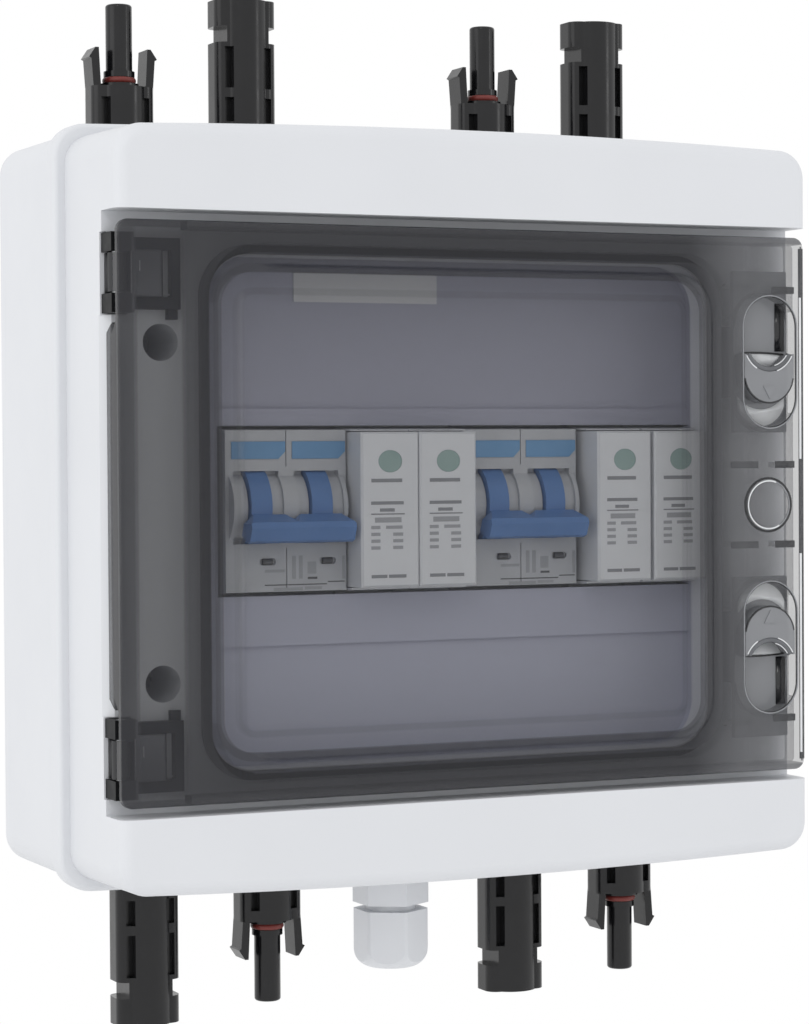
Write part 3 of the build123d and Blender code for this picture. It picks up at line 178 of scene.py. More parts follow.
# Printed bars: left end from the module's side, height of the middle above the door's middle,
# width and height; a column of equal bars also has their number and their pitch downwards.
ARRESTER_BARS = ((2.9, 8.0, 9.2, 1.0), (2.8, 1.9, 9.7, 0.9), (5.4, 0.0, 4.4, 0.9),
                 (2.8, -1.1, 10.0, 0.35), (2.8, -18.0, 4.7, 0.9), (8.0, -18.0, 5.2, 0.9))
ARRESTER_ROWS = ((3.9, -2.7, 7.9, 1.4), (2.8, -4.7, 2.7, 0.9, 4, 1.85), (7.2, -4.7, 4.9, 0.9),
                 (9.3, -6.6, 3.0, 0.9, 3, 1.8))
BREAKER_BARS = ((11.2, -20.0, 18.2, 0.3), (29.7, -19.4, 5.0, 0.3), (23.8, -18.3, 2.8, 0.6))
BREAKER_ROWS = ((11.3, -16.2, 5.8, 0.8), (19.2, -15.3, 1.1, 6.3), (21.2, -15.3, 1.1, 6.3),
                (23.8, -15.5, 2.5, 3.3), (13.8, -21.2, 8.5, 0.9), (22.9, -21.0, 5.0, 0.8),
                (34.0, -15.6, 0.9, 6.3))
# Oval markers of the breakers: left ends from the case's side, length, radius and height.
MARKER_LEFTS, MARKER_LENGTH, MARKER_RADIUS, MARKER_Z = (10.65, 28.25), 2.9, 0.85, -14.7

# Camera place in metres, and its yaw, pitch and roll in degrees, fitted to the photograph.
CAMERA_PLACE, CAMERA_ANGLES = (-0.3502, -0.8046, 0.0152), (24.878, -1.222, -0.361)

CARTRIDGES = tuple(f"arrester_{number}_cartridge" for number in range(1, 5))
BREAKERS = tuple(f"breaker_{number}_case" for number in range(1, 3))
MALE_PLUGS = ("top_plug_1_male", "top_plug_3_male", "bottom_plug_2_male", "bottom_plug_4_male")
FEMALE_PLUGS = ("top_plug_2_female", "top_plug_4_female", "bottom_plug_1_female",
                "bottom_plug_3_female")


def hex_linear(code):
    """Linear colour with full alpha from an sRGB hex code such as 4A90D9."""
    def channel(part):
        value = int(part, 16) / 255
        return value / 12.92 if value <= 0.04045 else ((value + 0.055) / 1.055) ** 2.4
    return (channel(code[0:2]), channel(code[2:4]), channel(code[4:6]), 1.0)


def add_node(tree, kind, inputs=None, **settings):
    """New node with its settings, its input values and its links."""
    node = tree.nodes.new(kind)
    for name, value in settings.items():
        setattr(node, name, value)
    for name, value in (inputs or {}).items():
        if isinstance(value, bpy.types.NodeSocket):
            tree.links.new(value, node.inputs[name])
        else:
            node.inputs[name].default_value = value
    return node


def plain_surface(name, code, roughness, **sockets):
    """Material with one Principled shader; sockets hold its other plain values."""
    material = bpy.data.materials.new(name)
    material.use_nodes = True
    tree = material.node_tree
    tree.nodes.clear()
    shader = add_node(tree, "ShaderNodeBsdfPrincipled",
                      {"Base Color": hex_linear(code), "Roughness": roughness})
    for socket, value in sockets.items():
        shader.inputs[socket].default_value = value
    add_node(tree, "ShaderNodeOutputMaterial", {"Surface": shader.outputs[0]})
    return material, tree, shader


def cloudy(tree, size_mm, detail=2.0):
    """Soft noise whose blotches are about size_mm across, on Object coordinates."""
    place = add_node(tree, "ShaderNodeTexCoord")
    return add_node(tree, "ShaderNodeTexNoise",
                    {"Vector": place.outputs["Object"], "Scale": 1 / (size_mm * MM),
                     "Detail": detail, "Roughness": 0.55}).outputs["Fac"]


def vary_roughness(tree, shader, size_mm, low, high):
    """Roughness that drifts between two values over the surface."""
    span = add_node(tree, "ShaderNodeMapRange",
                    {"Value": cloudy(tree, size_mm), "From Min": 0.3, "From Max": 0.7,
                     "To Min": low, "To Max": high})
    tree.links.new(span.outputs["Result"], shader.inputs["Roughness"])


def vary_colour(tree, shader, code_low, code_high, size_mm):
    """Colour that drifts between two close shades."""
    shade = add_node(tree, "ShaderNodeMix",
                     {"Factor": cloudy(tree, size_mm), "A": hex_linear(code_low),
                      "B": hex_linear(code_high)}, data_type="RGBA")
    tree.links.new(shade.outputs["Result"], shader.inputs["Base Color"])


def grain(tree, shader, size_mm, height_mm, strength):
    """Fine bumps of a textured mould."""
    bump = add_node(tree, "ShaderNodeBump",
                    {"Height": cloudy(tree, size_mm, 3.0), "Distance": height_mm * MM,
                     "Strength": strength})
    tree.links.new(bump.outputs["Normal"], shader.inputs["Normal"])


def moulded_abs(name, code_low, code_high):
    """Injection-moulded ABS: near-white, soft sheen from a spark-eroded mould."""
    material, tree, shader = plain_surface(name, code_high, 0.5, IOR=1.53)
    vary_colour(tree, shader, code_low, code_high, 38)
    vary_roughness(tree, shader, 14, 0.42, 0.54)
    # The eroded grain is about 0.25 mm; it is drawn at 0.7 mm so that it shows.
    grain(tree, shader, 0.7, 0.03, 0.35)
    return material


def smoked_polycarbonate(name, code, cover):
    """Moulded smoked polycarbonate: grey see-through sheet with a polished face."""
    material, tree, shader = plain_surface(name, code, 0.12, IOR=1.585, Alpha=cover)
    vary_roughness(tree, shader, 30, 0.08, 0.16)
    return material


def beyond(tree, coordinate, centre_mm, half_mm, ramp_mm):
    """Mask that rises from 0 inside a band around a centre line to 1 outside it."""
    shifted = add_node(tree, "ShaderNodeMath", {0: coordinate, 1: centre_mm * MM},
                       operation="SUBTRACT")
    away = add_node(tree, "ShaderNodeMath", {0: shifted.outputs[0]}, operation="ABSOLUTE")
    return add_node(tree, "ShaderNodeMapRange",
                    {"Value": away.outputs[0], "From Min": (half_mm - ramp_mm / 2) * MM,
                     "From Max": (half_mm + ramp_mm / 2) * MM}, clamp=True).outputs["Result"]


def pane_edge_distance(tree, place):
    """Distance from the rounded edge of the clear pane, below zero inside it, in metres."""
    flat = add_node(tree, "ShaderNodeVectorMath", {0: place, 1: (1, 0, 1)}, operation="MULTIPLY")
    centred = add_node(tree, "ShaderNodeVectorMath",
                       {0: flat.outputs[0], 1: (PANE_X * MM, 0, PANE_Z * MM)}, operation="SUBTRACT")
    folded = add_node(tree, "ShaderNodeVectorMath", {0: centred.outputs[0]}, operation="ABSOLUTE")
    core = ((PANE_HALF_X - PANE_CORNER) * MM, 0, (PANE_HALF_Z - PANE_CORNER) * MM)
    past = add_node(tree, "ShaderNodeVectorMath", {0: folded.outputs[0], 1: core},
                    operation="SUBTRACT")
    outside = add_node(tree, "ShaderNodeVectorMath", {0: past.outputs[0], 1: (0, 0, 0)},
                       operation="MAXIMUM")
    reach = add_node(tree, "ShaderNodeVectorMath", {0: outside.outputs[0]}, operation="LENGTH")
    return add_node(tree, "ShaderNodeMath", {0: reach.outputs["Value"], 1: PANE_CORNER * MM},
                    operation="SUBTRACT").outputs[0]


def pane_cover(tree, place):
    """Share of the light stopped by the pane and the ribs of the frame round it; its denser bands are painted shade.
    """
    low, high = PANE_COVER[0][0], PANE_COVER[-1][0]
    along = add_node(tree, "ShaderNodeMapRange",
                     {"Value": pane_edge_distance(tree, place), "From Min": low * MM,
                      "From Max": high * MM}, clamp=True)
    ramp = add_node(tree, "ShaderNodeValToRGB", {"Fac": along.outputs["Result"]})
    steps = ramp.color_ramp.elements
    while len(steps) < len(PANE_COVER):
        steps.new(0.5)
    for step, (distance, cover) in zip(steps, PANE_COVER):
        step.position = (distance - low) / (high - low)
        step.color = (cover, cover, cover, 1)
    return ramp.outputs["Color"]


def flank_cover(tree, across, upward):
    """Share of the light stopped beside the frame, from the door's left edge to its right: painted shade on the left
    flank and its outer edge, painted light on the right flank.
    """
    left_flank = add_node(tree, "ShaderNodeMapRange",
                          {"Value": beyond(tree, upward, PANE_Z, UNSHADED_HALF, SHADE_FADE),
                           "To Min": LEFT_COVER, "To Max": FLANK_COVER})
    left_edge = add_node(tree, "ShaderNodeMapRange",
                         {"Value": across, "From Min": -98.6 * MM, "From Max": -98.0 * MM,
                          "To Min": LEFT_EDGE_COVER, "To Max": left_flank.outputs["Result"]},
                         clamp=True)
    right_flank = add_node(tree, "ShaderNodeMapRange",
                           {"Value": across, "From Min": 88 * MM, "From Max": 97 * MM,
                            "To Min": FLANK_COVER, "To Max": RIGHT_COVER}, clamp=True)
    # Left turns to right at the middle of the door, where the pane has its own cover.
    return add_node(tree, "ShaderNodeMapRange",
                    {"Value": across, "From Min": 0.0, "From Max": 1 * MM,
                     "To Min": left_edge.outputs["Result"],
                     "To Max": right_flank.outputs["Result"]}, clamp=True).outputs["Result"]


def smoked_door(name, code, edge_code):
    """Smoked polycarbonate door: clear pane and ribbed frame, with painted shade in its denser bands and edges and
    painted light on its paler flanks.
    """
    material, tree, shader = plain_surface(name, code, 0.1, IOR=1.585, Alpha=PANE_COVER[0][1])
    vary_roughness(tree, shader, 30, 0.06, 0.13)
    place = add_node(tree, "ShaderNodeTexCoord").outputs["Object"]
    axes = add_node(tree, "ShaderNodeSeparateXYZ", {0: place})
    across, upward = axes.outputs["X"], axes.outputs["Z"]
    cover = add_node(tree, "ShaderNodeMix",
                     {"Factor": beyond(tree, across, FRAME_MIDDLE, FRAME_HALF, 0.8),
                      "A": pane_cover(tree, place), "B": flank_cover(tree, across, upward)},
                     data_type="RGBA")
    # Denser band along the top and bottom edges: painted shade of the recess above and below the door.
    edge_shaded = add_node(tree, "ShaderNodeMix",
                      {"Factor": beyond(tree, upward, PANE_Z, DOOR_HALF - SHADE_RIM_WIDTH, 0.2),
                       "A": cover.outputs["Result"], "B": (EDGE_COVER,) * 3 + (1,)},
                      data_type="RGBA")
    tree.links.new(edge_shaded.outputs["Result"], shader.inputs["Alpha"])
    # Paler towards the right: painted light on the right flank.
    paler = add_node(tree, "ShaderNodeMapRange",
                     {"Value": across, "From Min": 66 * MM, "From Max": 82 * MM}, clamp=True)
    shade = add_node(tree, "ShaderNodeMix",
                     {"Factor": paler.outputs["Result"], "A": hex_linear(code),
                      "B": hex_linear(edge_code)}, data_type="RGBA")
    tree.links.new(shade.outputs["Result"], shader.inputs["Base Color"])
    return material


def cover_with_panel_shade(name, code_low, code_high, panel_top, panel_bottom):
    """White ABS cover whose sunken inner panel carries painted shade: blue-grey, darker towards the top."""
    material = moulded_abs(name, code_low, code_high)
    tree = material.node_tree
    shader = next(node for node in tree.nodes if node.type == "BSDF_PRINCIPLED")
    white = shader.inputs["Base Color"].links[0].from_socket
    place = add_node(tree, "ShaderNodeTexCoord").outputs["Object"]
    axes = add_node(tree, "ShaderNodeSeparateXYZ", {0: place})
    height = add_node(tree, "ShaderNodeMapRange",
                      {"Value": axes.outputs["Z"], "From Min": PANEL_SHADE[0] * MM,
                       "From Max": PANEL_SHADE[1] * MM}, clamp=True)
    panel = add_node(tree, "ShaderNodeMix",
                     {"Factor": height.outputs["Result"], "A": hex_linear(panel_bottom),
                      "B": hex_linear(panel_top)}, data_type="RGBA")
    sunken = add_node(tree, "ShaderNodeMapRange",
                      {"Value": axes.outputs["Y"], "From Min": -(PANEL_DEPTH + 0.5) * MM,
                       "From Max": -PANEL_DEPTH * MM}, clamp=True)
    inner_x = beyond(tree, axes.outputs["X"], 0.0, PANEL_HALF_X, 0.5)
    inner_z = beyond(tree, axes.outputs["Z"], PANE_Z, PANEL_HALF_Z, 0.5)
    rim = add_node(tree, "ShaderNodeMath", {0: inner_x, 1: inner_z}, operation="MAXIMUM")
    within = add_node(tree, "ShaderNodeMath", {0: 1.0, 1: rim.outputs[0]}, operation="SUBTRACT")
    mask = add_node(tree, "ShaderNodeMath",
                    {0: sunken.outputs["Result"], 1: within.outputs[0]}, operation="MULTIPLY")
    both = add_node(tree, "ShaderNodeMix",
                    {"Factor": mask.outputs[0], "A": white, "B": panel.outputs["Result"]},
                    data_type="RGBA")
    tree.links.new(both.outputs["Result"], shader.inputs["Base Color"])
    return material


def hinge_polyamide(name, code, frame_code, pad_code):
    """Black hinge plastic: dull, darkest on the ears, paler on the frame and its raised pads."""
    material, tree, shader = plain_surface(name, code, 0.45, IOR=1.53)
    shader.inputs["Specular IOR Level"].default_value = 0.12
    axes = add_node(tree, "ShaderNodeSeparateXYZ",
                    {0: add_node(tree, "ShaderNodeTexCoord").outputs["Object"]})
    raised = add_node(tree, "ShaderNodeMapRange",
                      {"Value": axes.outputs["Y"], "From Min": -(PAD_DEPTH + 0.2) * MM,
                       "From Max": -(PAD_DEPTH - 0.2) * MM, "To Min": 1.0, "To Max": 0.0},
                      clamp=True)
    inner = add_node(tree, "ShaderNodeMapRange",
                     {"Value": axes.outputs["X"], "From Min": (BRACKET_X - 0.15) * MM,
                      "From Max": (BRACKET_X + 0.15) * MM}, clamp=True)
    pad = add_node(tree, "ShaderNodeMath",
                   {0: raised.outputs["Result"], 1: inner.outputs["Result"]}, operation="MULTIPLY")
    body = add_node(tree, "ShaderNodeMix",
                    {"Factor": inner.outputs["Result"], "A": hex_linear(code),
                     "B": hex_linear(frame_code)}, data_type="RGBA")
    shade = add_node(tree, "ShaderNodeMix",
                     {"Factor": pad.outputs[0], "A": body.outputs["Result"],
                      "B": hex_linear(pad_code)}, data_type="RGBA")
    tree.links.new(shade.outputs["Result"], shader.inputs["Base Color"])
    vary_roughness(tree, shader, 5, 0.4, 0.52)
    return material


def glassfibre_polyamide(name, code_low, code_high):
    """Black plug plastic: dense, slightly waxy, with faint flow marks."""
    material, tree, shader = plain_surface(name, code_high, 0.22, IOR=1.53)
    shader.inputs["Specular IOR Level"].default_value = 0.36
    vary_colour(tree, shader, code_low, code_high, 6)
    vary_roughness(tree, shader, 4, 0.16, 0.27)
    grain(tree, shader, 1.4, 0.02, 0.05)
    return material


def satin_thermoplastic(name, code_low, code_high, roughness):
    """Moulded solid plastic, from satin case to glossy bead, with a trace of cloudiness; its beads also carry painted
    highlights and painted shade.
    """
    material, tree, shader = plain_surface(name, code_high, roughness, IOR=1.5)
    vary_colour(tree, shader, code_low, code_high, 9)
    grain(tree, shader, 1.2, 0.012, 0.12)
    return material


def silicone(name, code, roughness):
    """Moulded silicone or rubber: soft, dull, with a faint bloom."""
    material, tree, shader = plain_surface(name, code, roughness, IOR=1.45)
    shader.inputs["Sheen Weight"].default_value = 0.15
    grain(tree, shader, 0.8, 0.02, 0.2)
    return material


def plated_steel(name, code_low, code_high):
    """Zinc-plated sheet or turned steel: grey metal with cloudy passivation."""
    material, tree, shader = plain_surface(name, code_high, 0.35, Metallic=1.0)
    vary_colour(tree, shader, code_low, code_high, 5)
    vary_roughness(tree, shader, 2.5, 0.26, 0.44)
    return material


def printed_ink(name, code):
    """Pad-printed ink: thin, matt and slightly uneven."""
    material, tree, shader = plain_surface(name, code, 0.6)
    vary_roughness(tree, shader, 1.5, 0.5, 0.7)
    return material


def vinyl_film(name, code):
    """Sticker film: smooth and slightly glossy."""
    material, tree, shader = plain_surface(name, code, 0.3, IOR=1.49)
    grain(tree, shader, 3.0, 0.03, 0.3)
    return material


# Each finish: how it is made, what it is, its shades in the panel, and its other values.
RECIPES = {
    "housing": (moulded_abs, "white moulded ABS", ("housing_low", "housing_high")),
    # The inner panel's blue-grey is painted shade, darker towards the top.
    "cover": (cover_with_panel_shade, "white moulded ABS cover",
              ("housing_low", "housing_high", "panel_top", "panel_bottom")),
    # The door's denser bands are painted shade and its paler right flank painted light.
    "smoke": (smoked_door, "smoked polycarbonate door", ("smoke", "flank")),
    "latch": (smoked_polycarbonate, "smoked polycarbonate latch", ("latch",), LATCH_COVER),
    "edge": (smoked_polycarbonate, "smoked polycarbonate edge", ("edge",), EDGE_COVER),
    # Painted shade: dark lines, strips and ribs where shade falls.
    "groove": (smoked_polycarbonate, "shaded polycarbonate groove", ("groove",), PAINTED_SHADE_COVER),
    # Painted highlights on edges, and painted light on the latch tray floors.
    "gleam": (satin_thermoplastic, "polished polycarbonate rim", ("gleam_low", "gleam_high"), 0.08),
    # Painted grey highlights on the latch slot rims and part of the lock window's rim.
    "rim": (satin_thermoplastic, "polished polycarbonate slot rim", ("rim_low", "rim_high"), 0.1),
    # Painted shade along the lip of each thumb scoop.
    "lip": (satin_thermoplastic, "frosted polycarbonate lip", ("lip_low", "lip_high"), 0.2),
    "knuckle": (satin_thermoplastic, "hinge knuckle polyamide", ("knuckle", "knuckle"), 0.45),
    "hinge": (hinge_polyamide, "black hinge polyamide", ("hinge", "hinge_frame", "hinge_pad")),
    "black": (glassfibre_polyamide, "black glass-filled polyamide", ("black_low", "black_high")),
    "breaker": (satin_thermoplastic, "grey-white breaker thermoplastic",
                ("breaker_low", "breaker_high"), 0.4),
    "arrester": (satin_thermoplastic, "white arrester thermoplastic",
                 ("arrester_low", "arrester_high"), 0.38),
    "toggle": (satin_thermoplastic, "blue toggle acetal", ("toggle_low", "toggle_high"), 0.36),
    "tab": (satin_thermoplastic, "light blue tab plastic", ("tab_low", "tab_high"), 0.3),
    "lens": (satin_thermoplastic, "green status flag", ("lens_low", "lens_high"), 0.25),
    "ink": (printed_ink, "grey pad print", ("ink",)),
    "pale_ink": (printed_ink, "pale grey pad print", ("pale_ink",)),
    "dark_ink": (printed_ink, "dark grey pad print", ("dark_ink",)),
    "label": (vinyl_film, "white vinyl film", ("label",)),
    "red": (silicone, "red-brown silicone", ("red",), 0.42),
    "seal": (silicone, "dark EPDM rubber", ("seal",), 0.7),
    "washer": (silicone, "grey EPDM rubber", ("washer",), 0.65),
    "steel": (plated_steel, "zinc-plated steel", ("steel_low", "steel_high")),
    "screw": (plated_steel, "dark phosphated steel", ("screw_low", "screw_high")),
    "contact": (plated_steel, "tinned copper", ("contact_low", "contact_high")),
}
FINISHES = {}


def finish(key):
    """Material of a recipe, made once from the shades in the panel."""
    if key not in FINISHES:
        maker, name, shades, *values = RECIPES[key]
        colours = bpy.context.scene.junction_colours
        FINISHES[key] = maker(name, *(getattr(colours, shade) for shade in shades), *values)
    return FINISHES[key]


def dress(node, key):
    """Give a CAD node its finish."""
    piece = frame["nodes"][node]
    if not piece.material_slots:
        piece.data.materials.append(finish(key))
    for material_slot in piece.material_slots:
        material_slot.material = finish(key)


def rows_tree():
    """Node tree: a column of equal printed bars."""
    tree = bpy.data.node_groups.new("printed rows", "GeometryNodeTree")
    sides = tree.interface
    for name in ("Width", "Height", "Thickness", "Pitch"):
        sides.new_socket(name, in_out="INPUT", socket_type="NodeSocketFloat").default_value = MM
    sides.new_socket("Rows", in_out="INPUT", socket_type="NodeSocketInt").default_value = 1
    sides.new_socket("Ink", in_out="INPUT", socket_type="NodeSocketMaterial")
    sides.new_socket("Geometry", in_out="OUTPUT", socket_type="NodeSocketGeometry")
    given = add_node(tree, "NodeGroupInput").outputs
    size = add_node(tree, "ShaderNodeCombineXYZ",
                    {"X": given["Width"], "Y": given["Thickness"], "Z": given["Height"]})
    bar = add_node(tree, "GeometryNodeMeshCube", {"Size": size.outputs[0]})
    down = add_node(tree, "ShaderNodeMath", {0: given["Pitch"], 1: -1.0}, operation="MULTIPLY")
    step = add_node(tree, "ShaderNodeCombineXYZ", {"Z": down.outputs[0]})
    column = add_node(tree, "GeometryNodeMeshLine",
                      {"Count": given["Rows"], "Offset": step.outputs[0]})
    copies = add_node(tree, "GeometryNodeInstanceOnPoints",
                      {"Points": column.outputs[0], "Instance": bar.outputs["Mesh"]})
    solid = add_node(tree, "GeometryNodeRealizeInstances", {0: copies.outputs[0]})
    inked = add_node(tree, "GeometryNodeSetMaterial",
                     {"Geometry": solid.outputs[0], "Material": given["Ink"]})
    add_node(tree, "NodeGroupOutput", {0: inked.outputs[0]})
    return tree


def run_tree(tree, values):
    """Plain mesh made by a node tree with these input values."""
    holder = bpy.data.objects.new("holder", bpy.data.meshes.new("holder"))
    bpy.context.collection.objects.link(holder)
    modifier = holder.modifiers.new("shape", "NODES")
    modifier.node_group = tree
    sockets = {item.name: item.identifier for item in tree.interface.items_tree
               if item.in_out == "INPUT"}
    for name, value in values.items():
        modifier[sockets[name]] = value
    graph = bpy.context.evaluated_depsgraph_get()
    mesh = bpy.data.meshes.new_from_object(holder.evaluated_get(graph), depsgraph=graph)
    bpy.data.objects.remove(holder)
    return mesh


def freed_mesh(name, form):
    """Mesh of this name from a form, which is then freed."""
    mesh = bpy.data.meshes.new(name)
    form.to_mesh(mesh)
    form.free()
    return mesh


def joined(name, parts, key):
    """One object in one finish from (mesh, place) pairs, with its place in its mesh."""
    form = bmesh.new()
    for mesh, place in parts:
        mesh.transform(Matrix.Translation(place))
        form.from_mesh(mesh)
        bpy.data.meshes.remove(mesh)
    mesh = freed_mesh(name, form)
    mesh.materials.append(finish(key))
    mesh.polygons.foreach_set("material_index", [0] * len(mesh.polygons))
    piece = bpy.data.objects.new(name, mesh)
    bpy.context.collection.objects.link(piece)
    return piece


def print_marks(name, corner, marks, body, thickness, key):
    """Printed bars on a front face, from their list of marks; corner and thickness in metres."""
    tree = bpy.data.node_groups.get("printed rows") or rows_tree()
    parts = []
    for left, height, width, tall, *column in marks:
        rows, pitch = column or (1, 0.0)
        mesh = run_tree(tree, {"Width": width * MM, "Height": tall * MM, "Thickness": thickness,
                               "Pitch": pitch * MM, "Rows": rows, "Ink": finish(key)})
        parts.append((mesh, corner + Vector(((left + width / 2) * MM, 0, height * MM))))
    piece = joined(name, parts, key)
    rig.slot(piece, "dark_rubber")
    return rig.ride(piece, body)


def bead(path, radius_mm, closed=False):
    """Mesh of a thin round bead along points given as X, depth and Z in millimetres."""
    curve = bpy.data.curves.new("bead", "CURVE")
    curve.dimensions = "3D"
    curve.bevel_depth = radius_mm * MM
    curve.bevel_resolution = 3
    curve.use_fill_caps = not closed
    line = curve.splines.new("POLY")
    line.points.add(len(path) - 1)
    line.use_cyclic_u = closed
    for point, (x, depth, z) in zip(line.points, path):
        point.co = (x * MM, -depth * MM, z * MM, 1)
    holder = bpy.data.objects.new("bead", curve)
    bpy.context.collection.objects.link(holder)
    graph = bpy.context.evaluated_depsgraph_get()
    mesh = bpy.data.meshes.new_from_object(holder.evaluated_get(graph), depsgraph=graph)
    bpy.data.objects.remove(holder)
    bpy.data.curves.remove(curve)
    mesh.materials.clear()
    return mesh


def arc(x, depth, z, radius, start, end, steps):
    """Points of an arc in a plane of constant depth; angles in degrees from the right."""
    turns = [math.radians(start + (end - start) * step / steps) for step in range(steps + 1)]
    return [(x + radius * math.cos(turn), depth, z + radius * math.sin(turn)) for turn in turns]


def latch_arc(level, depth, offset, radius, start, end, steps):
    """Points of an arc on the latches' middle line, turned over for the lower latch."""
    return arc(LATCH_X, depth, PANE_Z + level * offset, radius, start * level, end * level, steps)


def slot_path(level, depth, grow):
    """Closed outline of a latch opening."""
    radius = SLOT_RADIUS + grow
    z = PANE_Z + level * LATCH_OFFSET
    return (arc(LATCH_X, depth, z + SLOT_HALF, radius, 0, 180, 24)
            + arc(LATCH_X, depth, z - SLOT_HALF, radius, 180, 360, 24))


def slab_mesh(low, high, ease=0.08):
    """Mesh of a small block with eased edges, between corners given as X, depth and Z."""
    form = bmesh.new()
    bmesh.ops.create_cube(form, size=1.0)
    size = [(far - near) * MM for near, far in zip(low, high)]
    middle = [(far + near) / 2 * MM for near, far in zip(low, high)]
    bmesh.ops.scale(form, vec=size, verts=form.verts)
    bmesh.ops.translate(form, vec=(middle[0], -middle[1], middle[2]), verts=form.verts)
    bmesh.ops.bevel(form, geom=list(form.edges), offset=ease * MM, segments=2, affect="EDGES")
    return freed_mesh("slab", form)


def plate_mesh(outline, thickness_mm):
    """Mesh of a thin plate with this closed outline on its front, thickened backwards."""
    form = bmesh.new()
    front = [form.verts.new((x * MM, -depth * MM, z * MM)) for x, depth, z in outline]
    grown = bmesh.ops.extrude_face_region(form, geom=[form.faces.new(front)])
    moved = [part for part in grown["geom"] if isinstance(part, bmesh.types.BMVert)]
    bmesh.ops.translate(form, vec=(0, thickness_mm * MM, 0), verts=moved)
    bmesh.ops.recalc_face_normals(form, faces=form.faces)
    return freed_mesh("plate", form)


def trim_piece(name, meshes, key, body, slot="smoked_plastic"):
    """One smooth-shaded trim piece from its meshes, riding on a body."""
    piece = joined(name, [(mesh, Vector((0, 0, 0))) for mesh in meshes], key)
    for face in piece.data.polygons:
        face.use_smooth = True
    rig.slot(piece, slot)
    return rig.ride(piece, body)


def trim_door_face():
    """Painted highlights: grey on the rims of the latch openings and part of the lock window's rim, bright on the rest
    of that rim and along the right edge.
    """
    lens_face = DOOR_FACE + 0.3
    rims = [bead(slot_path(level, DOOR_FACE, 0.35), 0.2, True) for level in (1, -1)]
    rims.append(bead(arc(LENS_X, lens_face, PANE_Z, LENS_RADIUS, -60, 70, 24), 0.24))
    trim_piece("door_slot_rims", rims, "rim", "door_leaf")
    bright = [bead(arc(LENS_X, lens_face, PANE_Z, LENS_RADIUS, 70, 300, 36), 0.27)]
    for low, high in HIGHLIGHT_STRETCHES:
        bright.append(bead([(RIGHT_X, DOOR_FACE, low), (RIGHT_X, DOOR_FACE, high)], 0.35))
    trim_piece("door_bright_edges", bright, "gleam", "door_leaf")


def trim_door_shade():
    """Painted shade round the latch openings and the lock window, and dark ribs behind the door that paint shade."""
    grooves = [bead(slot_path(level, DOOR_FACE - 0.3, 0.12), 0.2, True) for level in (1, -1)]
    ring = arc(LENS_X, DOOR_FACE, PANE_Z, LENS_RADIUS + 0.8, 0, 360, 48)[:-1]
    grooves.append(bead(ring, 0.3, True))
    for level in (1, -1):
        for left, right, offset in SHADE_RIBS:
            z = PANE_Z + level * offset
            grooves.append(slab_mesh((left, 95.2, z - 1.0), (right, 96.3, z + 1.0)))
    trim_piece("door_grooves", grooves, "groove", "door_leaf")


def trim_door_sides():
    """Thin flange on the door's right edge, deep one on its left, and sleeves on its knuckles."""
    reach = DOOR_HALF - 2.4
    flange = slab_mesh((RIGHT_X - 0.1, 97.4, PANE_Z - reach), (103.5, 98.7, PANE_Z + reach), 0.6)
    trim_piece("door_right_flange", [flange], "edge", "door_leaf")
    trim_piece("door_left_flange", [left_flange()], "edge", "door_leaf")
    sleeves = [bead([(HINGE_X, HINGE_DEPTH, z - 5.0), (HINGE_X, HINGE_DEPTH, z + 5.0)], 2.55)
               for z in HINGE_HEIGHTS]
    trim_piece("door_knuckle_sleeves", sleeves, "knuckle", "door_leaf")


def left_flange():
    """Mesh of the flange that reaches back along the door's left edge, bevelled at its ends."""
    right, left, front, back = -101.9, -103.3, 93.2, 88.9
    top, bottom, slope = 46.2, -49.2, 2.6
    corners = ((front, top + slope), (back, top), (back, bottom), (front, bottom - slope))
    form = bmesh.new()
    rings = [[form.verts.new((x * MM, -depth * MM, z * MM)) for depth, z in corners]
             for x in (left, right)]
    form.faces.new(rings[0])
    form.faces.new(list(reversed(rings[1])))
    for near in range(4):
        far = (near + 1) % 4
        form.faces.new((rings[0][far], rings[0][near], rings[1][near], rings[1][far]))
    bmesh.ops.recalc_face_normals(form, faces=form.faces)
    bmesh.ops.bevel(form, geom=list(form.edges), offset=0.3 * MM, segments=2, affect="EDGES")
    return freed_mesh("flange", form)


def trim_hinges():
    """Painted highlights along the edges of each hinge pad, and the web between the two ears of each hinge."""
    edges, webs = [], []
    for z in HINGE_HEIGHTS:
        edges.append(bead([(-97.7, 93.1, z - 5.4), (-97.7, 93.1, z + 5.4)], 0.2))
        edges.append(bead([(-95.4, 93.2, z + 0.4), (-95.4, 93.2, z + 3.2)], 0.14))
        edges.append(bead([(-88.4, 89.0, z - 5.4), (-84.9, 89.0, z - 5.4)], 0.25))
        webs.append(slab_mesh((-102.8, 86.4, z - 5.2), (-101.8, 88.9, z + 5.2)))
    trim_piece("hinge_pad_edges", edges, "gleam", "box", "black_plastic")
    trim_piece("hinge_backs", webs, "knuckle", "box", "black_plastic")


